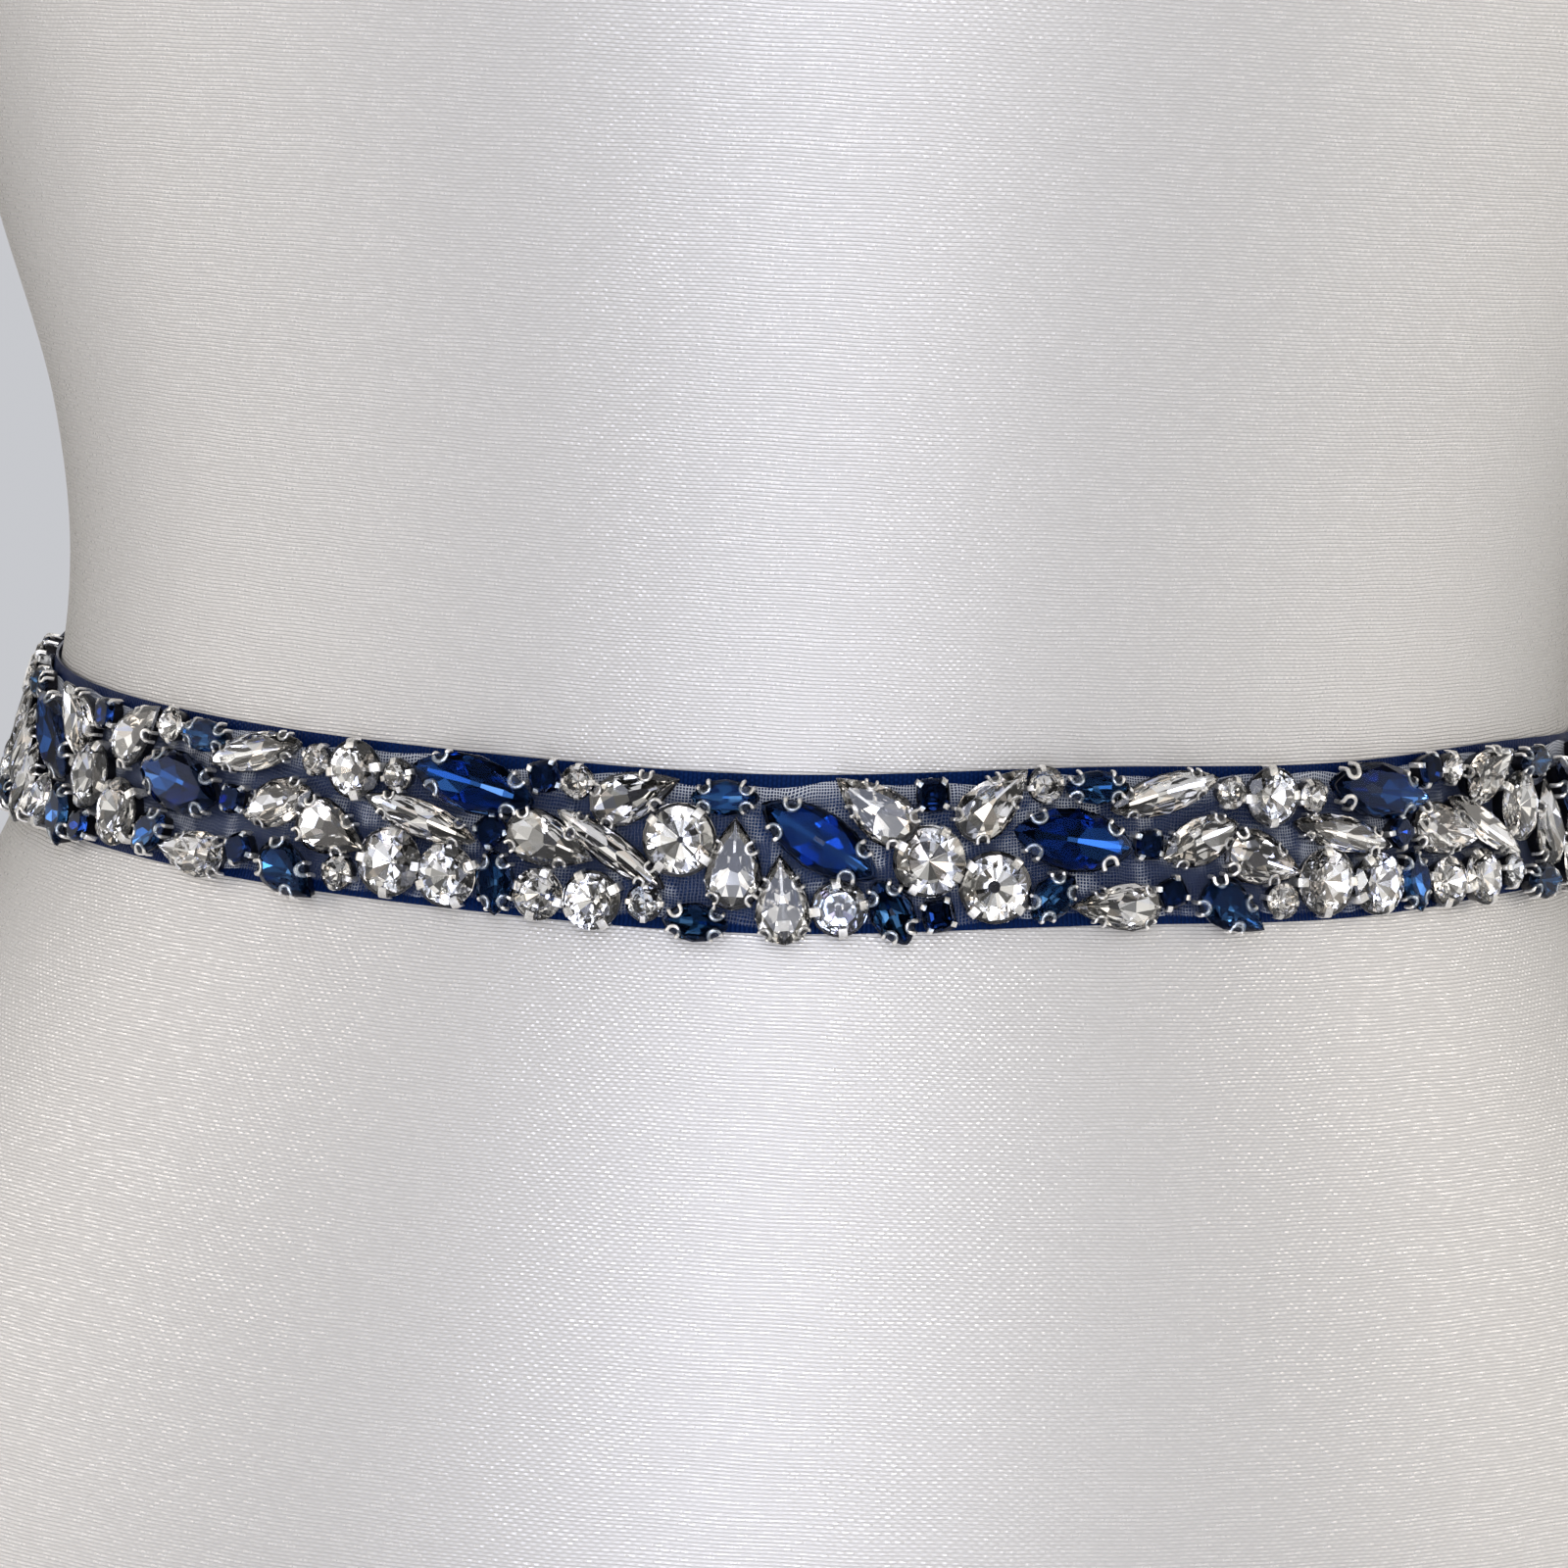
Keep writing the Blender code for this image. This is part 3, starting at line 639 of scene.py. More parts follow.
def ribbed_weave_group():
    """Satin with fine ribs along U, staggered stitches on them, and scattered glints."""
    tree, given, made = new_group(
        "Ribbed weave",
        (("Vector", "NodeSocketVector", None), ("Rib pitch", "NodeSocketFloat", 0.6),
         ("Stitch pitch", "NodeSocketFloat", 0.95), ("Unevenness", "NodeSocketFloat", 0.25)),
        ("Height", "Glint", "Cloud"))
    parts = add_node(tree, "ShaderNodeSeparateXYZ", {0: given.outputs["Vector"]})
    waves = [maths(tree, "SINE", maths(tree, "ADD", maths(tree, "MULTIPLY", parts.outputs[0], across),
                                       maths(tree, "MULTIPLY", parts.outputs[1], along)))
             for across, along in ((0.31, 0.23), (-0.17, 0.41))]
    cloud = maths(tree, "ADD", maths(tree, "MULTIPLY", maths(tree, "MULTIPLY", *waves), 0.5), 0.5)
    wobble = maths(tree, "MULTIPLY", cloud, given.outputs["Unevenness"])
    rows = maths(tree, "DIVIDE", maths(tree, "ADD", parts.outputs[1], wobble), given.outputs["Rib pitch"])
    valley = maths(tree, "POWER", maths(tree, "ABSOLUTE", maths(tree, "COSINE",
                   maths(tree, "MULTIPLY", rows, math.pi))), 6.0)
    rib = maths(tree, "SUBTRACT", 1.0, valley)
    stagger = maths(tree, "MULTIPLY", maths(tree, "FLOOR", rows), 0.5)
    along = maths(tree, "DIVIDE", parts.outputs[0], given.outputs["Stitch pitch"])
    stitches = maths(tree, "ADD", along, stagger)
    stitch = maths(tree, "ADD", maths(tree, "MULTIPLY", maths(tree, "COSINE",
                   maths(tree, "MULTIPLY", stitches, math.tau)), -0.5), 0.5)
    cells = add_node(tree, "ShaderNodeCombineXYZ", {0: maths(tree, "FLOOR", stitches),
                                                    1: maths(tree, "FLOOR", rows)})
    chance = add_node(tree, "ShaderNodeTexWhiteNoise", {"Vector": cells.outputs[0]}, noise_dimensions="2D")
    broken = maths(tree, "ADD", maths(tree, "MULTIPLY", chance.outputs[0], 0.35), 0.65)
    height = maths(tree, "MULTIPLY", maths(tree, "MULTIPLY", rib, broken),
                   maths(tree, "ADD", maths(tree, "MULTIPLY", stitch, 0.45), 0.55))
    glint = maths(tree, "MULTIPLY", maths(tree, "POWER", chance.outputs[0], 3.0), height)
    tree.links.new(height, made.inputs["Height"])
    tree.links.new(glint, made.inputs["Glint"])
    tree.links.new(cloud, made.inputs["Cloud"])
    return tree


def plain_weave_group():
    """Open plain weave: threads both ways, thicker and thinner here and there."""
    tree, given, made = new_group(
        "Plain weave", (("Vector", "NodeSocketVector", None), ("Pitch", "NodeSocketFloat", ORGANZA_PITCH)),
        ("Threads", "Cloud"))
    cloud = add_node(tree, "ShaderNodeTexNoise", {"Vector": given.outputs["Vector"], "Scale": 0.16,
                                                  "Detail": 2.0})
    bend = maths(tree, "MULTIPLY", cloud.outputs[0], 2.0)
    parts = add_node(tree, "ShaderNodeSeparateXYZ", {0: given.outputs["Vector"]})
    ways = []
    for part in parts.outputs[:2]:
        turns = maths(tree, "MULTIPLY", maths(tree, "DIVIDE", maths(tree, "ADD", part, bend),
                                              given.outputs["Pitch"]), math.tau)
        ways.append(maths(tree, "ADD", maths(tree, "MULTIPLY", maths(tree, "COSINE", turns), 0.5), 0.5))
    threads = maths(tree, "MAXIMUM", *ways)
    tree.links.new(threads, made.inputs["Threads"])
    tree.links.new(cloud.outputs[0], made.inputs["Cloud"])
    return tree


def speckle_group():
    """Soft tarnish and fine scratches, from object coordinates."""
    tree, given, made = new_group(
        "Soft tarnish", (("Vector", "NodeSocketVector", None), ("Scale", "NodeSocketFloat", 400.0)),
        ("Patches", "Specks"))
    patches = add_node(tree, "ShaderNodeTexNoise", {"Vector": given.outputs["Vector"],
                                                    "Scale": given.outputs["Scale"], "Detail": 3.0})
    finer = maths(tree, "MULTIPLY", given.outputs["Scale"], 6.0)
    specks = add_node(tree, "ShaderNodeTexNoise", {"Vector": given.outputs["Vector"], "Scale": finer,
                                                   "Detail": 1.0})
    tree.links.new(patches.outputs[0], made.inputs["Patches"])
    tree.links.new(specks.outputs[0], made.inputs["Specks"])
    return tree


def use_group(tree, group, inputs):
    """Place a node group in a material."""
    node = tree.nodes.new("ShaderNodeGroup")
    node.node_tree = bpy.data.node_groups[group]
    for key, value in inputs.items():
        if isinstance(value, bpy.types.NodeSocket):
            tree.links.new(value, node.inputs[key])
        else:
            node.inputs[key].default_value = value
    return node


def bump(tree, shader, height, distance, strength):
    """Send a height through a Bump node into the shader's normal."""
    node = add_node(tree, "ShaderNodeBump", {"Height": height, "Distance": distance, "Strength": strength})
    tree.links.new(node.outputs[0], shader.inputs["Normal"])


def cover_material(colours, sizes):
    """Ivory stretch satin: fine ribs, staggered stitches, small glints; the rib valleys are painted darker as
    painted shade and the glints painted lighter as painted highlight.
    """
    material, tree, shader = new_material("ivory ribbed satin")
    cloth = add_node(tree, "ShaderNodeUVMap", uv_map="cloth")
    weave = use_group(tree, "Ribbed weave", {"Vector": cloth.outputs[0], "Rib pitch": sizes.rib_pitch / MM})
    # shade: the cover's colour darkened in the rib valleys, a painted shade
    shade = tuple(COVER_PAINTED_VALLEY_SHADE * value for value in colours.cover[:3]) + (1.0,)
    # light: the cover's colour lightened on the glints, a painted highlight
    light = tuple(min(1.0, COVER_PAINTED_GLINT * value) for value in colours.cover[:3]) + (1.0,)
    base = mix_colours(tree, weave.outputs["Height"], shade, colours.cover)
    base = mix_colours(tree, weave.outputs["Glint"], base, light)
    tree.links.new(base, shader.inputs["Base Color"])
    rough = maths(tree, "SUBTRACT", COVER_ROUGH, maths(tree, "MULTIPLY", weave.outputs["Glint"], GLINT_SHINE))
    tree.links.new(rough, shader.inputs["Roughness"])
    shader.inputs["Metallic"].default_value = 0.30
    shader.inputs["Anisotropic"].default_value = 0.6
    shader.inputs["Anisotropic Rotation"].default_value = 0.25
    bump(tree, shader, weave.outputs["Height"], COVER_RELIEF, 0.8)
    return material


def ribbon_material(colours):
    """Navy satin with ribbed selvedges, its rib tops painted lighter as a painted highlight."""
    material, tree, shader = new_material("navy satin")
    cloth = add_node(tree, "ShaderNodeUVMap", uv_map="cloth")
    parts = add_node(tree, "ShaderNodeSeparateXYZ", {0: cloth.outputs[0]})
    turned = add_node(tree, "ShaderNodeCombineXYZ", {0: parts.outputs[1], 1: parts.outputs[0]})
    ribs = use_group(tree, "Ribbed weave", {"Vector": turned.outputs[0], "Rib pitch": 0.55,
                                            "Stitch pitch": 0.7, "Unevenness": 0.1})
    middle = maths(tree, "ABSOLUTE", maths(tree, "SUBTRACT", parts.outputs[1], RIBBON_MIDDLE))
    edge = add_node(tree, "ShaderNodeMapRange", {"Value": middle, "From Min": SELVEDGE_START,
                                                 "From Max": SELVEDGE_FULL})
    height = maths(tree, "MULTIPLY", ribs.outputs["Height"],
                   maths(tree, "ADD", maths(tree, "MULTIPLY", edge.outputs[0], 0.85), 0.15))
    # The rib tops are painted lighter than the navy: a painted highlight.
    painted_rib_highlight = tuple(min(1.0, RIBBON_PAINTED_HIGHLIGHT * value) for value in colours.ribbon[:3]) + (1.0,)
    painted_highlight_share = maths(tree, "MULTIPLY", height, 0.5)
    base = mix_colours(tree, painted_highlight_share, colours.ribbon, painted_rib_highlight)
    tree.links.new(base, shader.inputs["Base Color"])
    rough = maths(tree, "ADD", maths(tree, "MULTIPLY", ribs.outputs["Cloud"], 0.15), 0.26)
    tree.links.new(rough, shader.inputs["Roughness"])
    shader.inputs["Specular Tint"].default_value = RIBBON_GLOSS
    bump(tree, shader, height, 0.00016, 0.7)
    return material


def sheer_material(colours):
    """Sheer organza: an open weave that lets the ribbon show through."""
    material, tree, shader = new_material("grey organza")
    cloth = add_node(tree, "ShaderNodeUVMap", uv_map="cloth")
    weave = use_group(tree, "Plain weave", {"Vector": cloth.outputs[0]})
    parts = add_node(tree, "ShaderNodeSeparateXYZ", {0: cloth.outputs[0]})
    edge = add_node(tree, "ShaderNodeMapRange", {"Value": parts.outputs[1], "From Min": ORGANZA_EDGE_START,
                                                 "From Max": ORGANZA_EDGE_FULL})
    folds = add_node(tree, "ShaderNodeMapRange", {"Value": weave.outputs["Cloud"], "From Min": 0.49,
                                                  "From Max": 0.70}, interpolation_type="SMOOTHSTEP")
    full = maths(tree, "MAXIMUM", folds.outputs[0], edge.outputs[0])
    tree.links.new(mix_colours(tree, full, colours.sheer, colours.sheer_light), shader.inputs["Base Color"])
    dense = maths(tree, "ADD", maths(tree, "MULTIPLY", full, ORGANZA_FOLDED), ORGANZA_SINGLE)
    alpha = maths(tree, "MULTIPLY", maths(tree, "POWER", weave.outputs["Threads"], 4.0), dense)
    tree.links.new(alpha, shader.inputs["Alpha"])
    shader.inputs["Roughness"].default_value = 0.42
    bump(tree, shader, weave.outputs["Threads"], 0.00006, 0.5)
    return material


def silver_material(name, colour):
    """Silver plate, a little tarnished."""
    material, tree, shader = new_material(name)
    place = add_node(tree, "ShaderNodeTexCoord")
    wear = use_group(tree, "Soft tarnish", {"Vector": place.outputs["Object"], "Scale": 700.0})
    dull = tuple(0.62 * value for value in colour[:3]) + (1.0,)
    patches = add_node(tree, "ShaderNodeMapRange", {"Value": wear.outputs["Patches"], "From Min": 0.45,
                                                    "From Max": 0.75})
    base = mix_colours(tree, patches.outputs[0], colour, dull)
    tree.links.new(base, shader.inputs["Base Color"])
    rough = maths(tree, "ADD", maths(tree, "MULTIPLY", wear.outputs["Specks"], 0.20), 0.20)
    tree.links.new(rough, shader.inputs["Roughness"])
    shader.inputs["Metallic"].default_value = 0.85
    return material


def crown_material(name, tint, gloss):
    """Clear or coloured cut glass over the foil."""
    material, _, shader = new_material(name)
    shader.inputs["Roughness"].default_value = 0.0
    shader.inputs["Base Color"].default_value = tint
    shader.inputs["Specular Tint"].default_value = gloss
    shader.inputs["Transmission Weight"].default_value = 1.0
    shader.inputs["IOR"].default_value = GLASS_REFRACTION
    return material


def foil_material():
    """Mirror foil behind the stones, each facet in its own shade of painted reflection."""
    material, tree, shader = new_material("foil with painted facet reflections")
    reflection_shades = add_node(tree, "ShaderNodeAttribute", attribute_name="facet_reflection")
    tree.links.new(reflection_shades.outputs["Color"], shader.inputs["Base Color"])
    shader.inputs["Roughness"].default_value = FOIL_ROUGHNESS
    shader.inputs["Metallic"].default_value = 1.0
    return material


def cut_outline(cut, turn):
    """Point of a cut's outline, one long and one wide, at a turn round its middle."""
    if cut == "navette":
        return math.cos(turn), math.copysign(abs(math.sin(turn)) ** NAVETTE_POWER, math.sin(turn))
    if cut == "pear":
        return math.cos(turn), math.sin(turn) * abs(math.sin(turn / 2)) / PEAR_HALF_WIDTH
    if cut == "square":
        x = math.copysign(abs(math.cos(turn)) ** SQUARE_POWER, math.cos(turn))
        return x, math.copysign(abs(math.sin(turn)) ** SQUARE_POWER, math.sin(turn))
    return math.cos(turn), math.sin(turn)


def model_cut(cut):
    """One stone of a cut, one long and one wide: circles at its facet lines, drawn into a hull."""
    bpy.ops.object.select_all(action="DESELECT")
    for points, radius, height, turn in ROUND_RINGS if cut == "round" else LONG_RINGS:
        bpy.ops.mesh.primitive_circle_add(vertices=points, radius=radius, location=(0, 0, 0))
        bpy.ops.object.mode_set(mode="EDIT")
        angle = math.tau * turn / points
        bpy.ops.transform.rotate(value=-angle, orient_axis="Z", center_override=(0, 0, 0))
        bpy.ops.transform.translate(value=(0, 0, height))
    bpy.ops.object.mode_set(mode="OBJECT")
    stone = bpy.context.object
    mesh = stone.data
    for vertex in mesh.vertices:
        radius = math.hypot(vertex.co.x, vertex.co.y)
        x, y = cut_outline(cut, math.atan2(vertex.co.y, vertex.co.x))
        vertex.co.x = radius * x
        vertex.co.y = radius * y
    bpy.ops.object.mode_set(mode="EDIT")
    bpy.ops.mesh.select_all(action="SELECT")
    bpy.ops.mesh.convex_hull(join_triangles=True, face_threshold=FACET_ANGLE, shape_threshold=FACET_ANGLE)
    bpy.ops.object.mode_set(mode="OBJECT")
    points = [vertex.co.copy() for vertex in mesh.vertices]
    faces = [(tuple(face.vertices), sum(points[corner].z for corner in face.vertices) / len(face.vertices))
             for face in mesh.polygons]
    bpy.data.objects.remove(stone, do_unlink=True)
    return points, faces


def read_template(piece):
    """Take the points and faces of a template in millimetres, and remove it."""
    points = [vertex.co.copy() for vertex in piece.data.vertices]
    faces = [tuple(face.vertices) for face in piece.data.polygons]
    bpy.data.objects.remove(piece, do_unlink=True)
    return points, faces


def model_wire_loop(wire):
    """Wire loop that clasps a stone: up the side, round in a C over the edge, and down again."""
    bpy.ops.object.select_all(action="DESELECT")
    path = [(0.22, -1.0, -1.4), (0.26, -1.0, -0.3), (0.10, -1.0, 0.14)]
    path += [(-LOOP_INSET - LOOP_REACH * math.cos(turn), math.sin(turn), LOOP_LIFT * math.cos(turn) + 0.20)
             for turn in (math.radians(degrees) for degrees in range(-80, 81, 20))]
    path += [(x, -side, height) for x, side, height in path[2::-1]]
    curve = bpy.data.curves.new("wire loop", "CURVE")
    curve.dimensions = "3D"
    curve.bevel_depth = wire / 2
    curve.bevel_resolution = 2
    curve.use_fill_caps = True
    spline = curve.splines.new("POLY")
    spline.points.add(len(path) - 1)
    for point, (x, side, height) in zip(spline.points, path):
        point.co = (x, LOOP_RADIUS * side, height, 1.0)
    piece = bpy.data.objects.new("wire loop", curve)
    bpy.context.collection.objects.link(piece)
    bpy.context.view_layer.objects.active = piece
    piece.select_set(True)
    bpy.ops.object.convert(target="MESH")
    return read_template(bpy.context.object)


def model_painted_shade_plate():
    """Dark plate that fills the eye of a wire loop: painted shade where the eye is in shade."""
    bpy.ops.object.select_all(action="DESELECT")
    bpy.ops.mesh.primitive_cylinder_add(vertices=12, radius=1.0, depth=0.08, location=(0, 0, 0))
    piece = bpy.context.object
    slope = LOOP_LIFT / LOOP_REACH
    for vertex in piece.data.vertices:
        x = -LOOP_INSET - 0.25 * LOOP_REACH + 0.62 * LOOP_REACH * vertex.co.x
        vertex.co = (x, 0.72 * LOOP_RADIUS * vertex.co.y, vertex.co.z + 0.16 - slope * (x + LOOP_INSET))
    return read_template(piece)


def model_flat_tab():
    """Flat tab that holds a round stone: up the side and bent in over its edge."""
    bpy.ops.object.select_all(action="DESELECT")
    bpy.ops.mesh.primitive_plane_add(size=1.0, location=(0, 0, 0))
    piece = bpy.context.object
    for vertex in piece.data.vertices:
        vertex.co = (0.28, 1.0 * vertex.co.y, -2.0 if vertex.co.x < 0 else -0.2)
    bpy.ops.object.mode_set(mode="EDIT")
    bpy.ops.mesh.select_mode(type="VERT")
    for x, height in TAB_BENDS:
        bpy.ops.object.mode_set(mode="OBJECT")
        top = max(vertex.co.z for vertex in piece.data.vertices)
        start = 0.0
        for vertex in piece.data.vertices:
            vertex.select = abs(vertex.co.z - top) < 1e-4
            start = vertex.co.x if vertex.select else start
        for edge in piece.data.edges:
            edge.select = all(piece.data.vertices[corner].select for corner in edge.vertices)
        bpy.ops.object.mode_set(mode="EDIT")
        bpy.ops.mesh.extrude_region_move(
            TRANSFORM_OT_translate={"value": (x - start, 0.0, height - top)})
    bpy.ops.object.mode_set(mode="OBJECT")
    wall = piece.modifiers.new("Sheet metal", "SOLIDIFY")
    wall.thickness = TAB_THICKNESS
    wall.offset = 0.0
    bpy.context.view_layer.objects.active = piece
    bpy.ops.object.modifier_apply(modifier=wall.name)
    edge = piece.modifiers.new("Soft edge", "BEVEL")
    edge.width = TAB_EDGE
    edge.segments = 1
    bpy.ops.object.modifier_apply(modifier=edge.name)
    return read_template(piece)


def repeat_start(number):
    """Place along the ribbon where a repeat of the trim starts."""
    return TRIM_CENTRE + REPEAT_LENGTH * (number - 1 - REPEAT_COUNT / 2)


def placed_stones(number):
    """Stones of a repeat with their frame on the ribbon, each with a slight tilt of its own."""
    rng = random.Random(STONE_SEED * 100 + number)
    start = repeat_start(number)
    sizes = bpy.context.scene.bridal_sash_sizes
    lift = (sizes.sheer_lift + sizes.girdle_lift) / MM
    for cut, along, across, length, width, turn, colour in STONES:
        tilt = Matrix.Rotation(math.radians(rng.uniform(-STONE_TILT, STONE_TILT)), 4, "X")
        tilt = tilt @ Matrix.Rotation(math.radians(rng.uniform(-STONE_TILT, STONE_TILT)), 4, "Y")
        raised = lift + rng.uniform(-STONE_SINK, STONE_RISE)
        seat = stone_frame(start + along, across, raised)
        frame_matrix = seat @ tilt @ Matrix.Rotation(math.radians(turn), 4, "Z")
        fullness = CLEAR_FULLNESS if colour in CLEAR_COLOURS else DARK_FULLNESS
        yield cut, length * fullness, width * fullness, colour, frame_matrix, rng


def add_joined(name, points, faces, materials, indices=None, reflection_shades=None, smooth=False):
    """One object of many small solids, from points in millimetres in the waist's frame."""
    mesh = bpy.data.meshes.new(name)
    mesh.from_pydata([(MM * p.x, MM * p.y, MM * (p.z + WAIST_HEIGHT)) for p in points], [], faces)
    for material in materials:
        mesh.materials.append(material)
    if indices is not None:
        mesh.polygons.foreach_set("material_index", indices)
    # Each face's shade of painted reflection goes into a colour attribute.
    if reflection_shades is not None:
        layer = mesh.color_attributes.new("facet_reflection", "FLOAT_COLOR", "CORNER")
        values = [value for face, shade in zip(faces, reflection_shades) for _ in face for value in (*shade, 1.0)]
        layer.data.foreach_set("color", values)
    if smooth:
        mesh.shade_smooth()
        mesh.set_sharp_from_angle(angle=math.radians(42.0))
    mesh.update()
    piece = bpy.data.objects.new(name, mesh)
    bpy.context.collection.objects.link(piece)
    return piece


class BRIDAL_OT_dress_form(bpy.types.Operator):
    """Cover the dress form in ribbed stretch satin"""

    bl_idname = "bridal.dress_form"
    bl_label = "Dress form"

    def execute(self, context):
        sizes = context.scene.bridal_sash_sizes
        low = FORM_SECTIONS[0][0]
        high = FORM_SECTIONS[-1][0]

        def place(u, v):
            return on_form(math.tau * (u - 0.5), low + (high - low) * v, 0.0)

        cover = add_sheet("form_cover", *COVER_GRID, place, (WAIST_ROUND, high - low), closed=True)
        bpy.ops.object.mode_set(mode="EDIT")
        bpy.ops.mesh.select_all(action="DESELECT")
        bpy.ops.object.mode_set(mode="OBJECT")
        rim = MM * (high + WAIST_HEIGHT) - 1e-5
        for vertex in cover.data.vertices:
            vertex.select = vertex.co.z > rim
        for edge in cover.data.edges:
            edge.select = all(cover.data.vertices[corner].select for corner in edge.vertices)
        bpy.ops.object.mode_set(mode="EDIT")
        for share, lift in NECK_RINGS:
            bpy.ops.mesh.extrude_region_move(TRANSFORM_OT_translate={"value": (0, 0, MM * lift)})
            bpy.ops.transform.resize(value=(share, share, 1.0), center_override=(0, 0, 0))
        bpy.ops.mesh.merge(type="CENTER")
        bpy.ops.object.mode_set(mode="OBJECT")
        thicken(cover, COVER_THICKNESS, -1.0)
        dress(cover, cover_material(context.scene.bridal_sash_colours, sizes), "form_cover", "dress_form")
        return {"FINISHED"}


class BRIDAL_OT_ribbon(bpy.types.Operator):
    """Wrap the satin ribbon round the waist"""

    bl_idname = "bridal.ribbon"
    bl_label = "Ribbon band"

    def execute(self, context):
        sizes = context.scene.bridal_sash_sizes
        width = sizes.ribbon_width / MM
        lift = sizes.ribbon_lift / MM

        def place(u, v):
            angle = math.tau * (u - 0.5)
            across = width * (v - 0.5)
            selvedge = 0.12 * np.exp(-((np.abs(across) - 10.5) / 0.5) ** 2)
            ease = 0.10 * np.sin(9 * angle) * np.abs(across / 11.0) ** 2
            return on_form(angle, across + ribbon_rise(angle), lift + selvedge + ease)

        band = add_sheet("ribbon", *BAND_GRID, place, (WAIST_ROUND, width), closed=True)
        thicken(band, sizes.ribbon_thickness, 1.0)
        dress(band, ribbon_material(context.scene.bridal_sash_colours), "satin_ribbon", "ribbon_band")
        return {"FINISHED"}


class BRIDAL_OT_organza(bpy.types.Operator):
    """Lay the sheer strips that carry the stones"""

    bl_idname = "bridal.organza"
    bl_label = "Sheer strips"

    def execute(self, context):
        sizes = context.scene.bridal_sash_sizes
        half = sizes.sheer_half_width / MM
        lift = sizes.sheer_lift / MM
        material = sheer_material(context.scene.bridal_sash_colours)
        for number in range(1, REPEAT_COUNT + 1):
            start = repeat_start(number)

            def place(u, v, start=start):
                along = start + REPEAT_LENGTH * u
                upper = half + 0.45 * np.sin(along / 5.1 + 0.6) + 0.30 * np.sin(along / 2.3)
                lower = -half + 0.35 * np.sin(along / 4.3) + 0.25 * np.sin(along / 1.9 + 1.0)
                across = lower + (upper - lower) * v
                ripple = 0.10 * np.sin(along / 1.7 + across / 2.1)
                ripple += 0.08 * np.sin(along / 3.9 - across / 1.3)
                curl = 0.35 * np.clip(np.abs(across) - 8.6, 0.0, 1.2) * (1 + np.sin(along / 3.1)) / 2
                return on_ribbon(along, across, lift + ripple + curl)

            strip = add_sheet(f"organza_{number}", *ORGANZA_GRID, place, (REPEAT_LENGTH, 2 * half))
            thicken(strip, sizes.sheer_thickness, 1.0)
            dress(strip, material, "sheer_organza", f"crystal_trim_{number}")
        return {"FINISHED"}


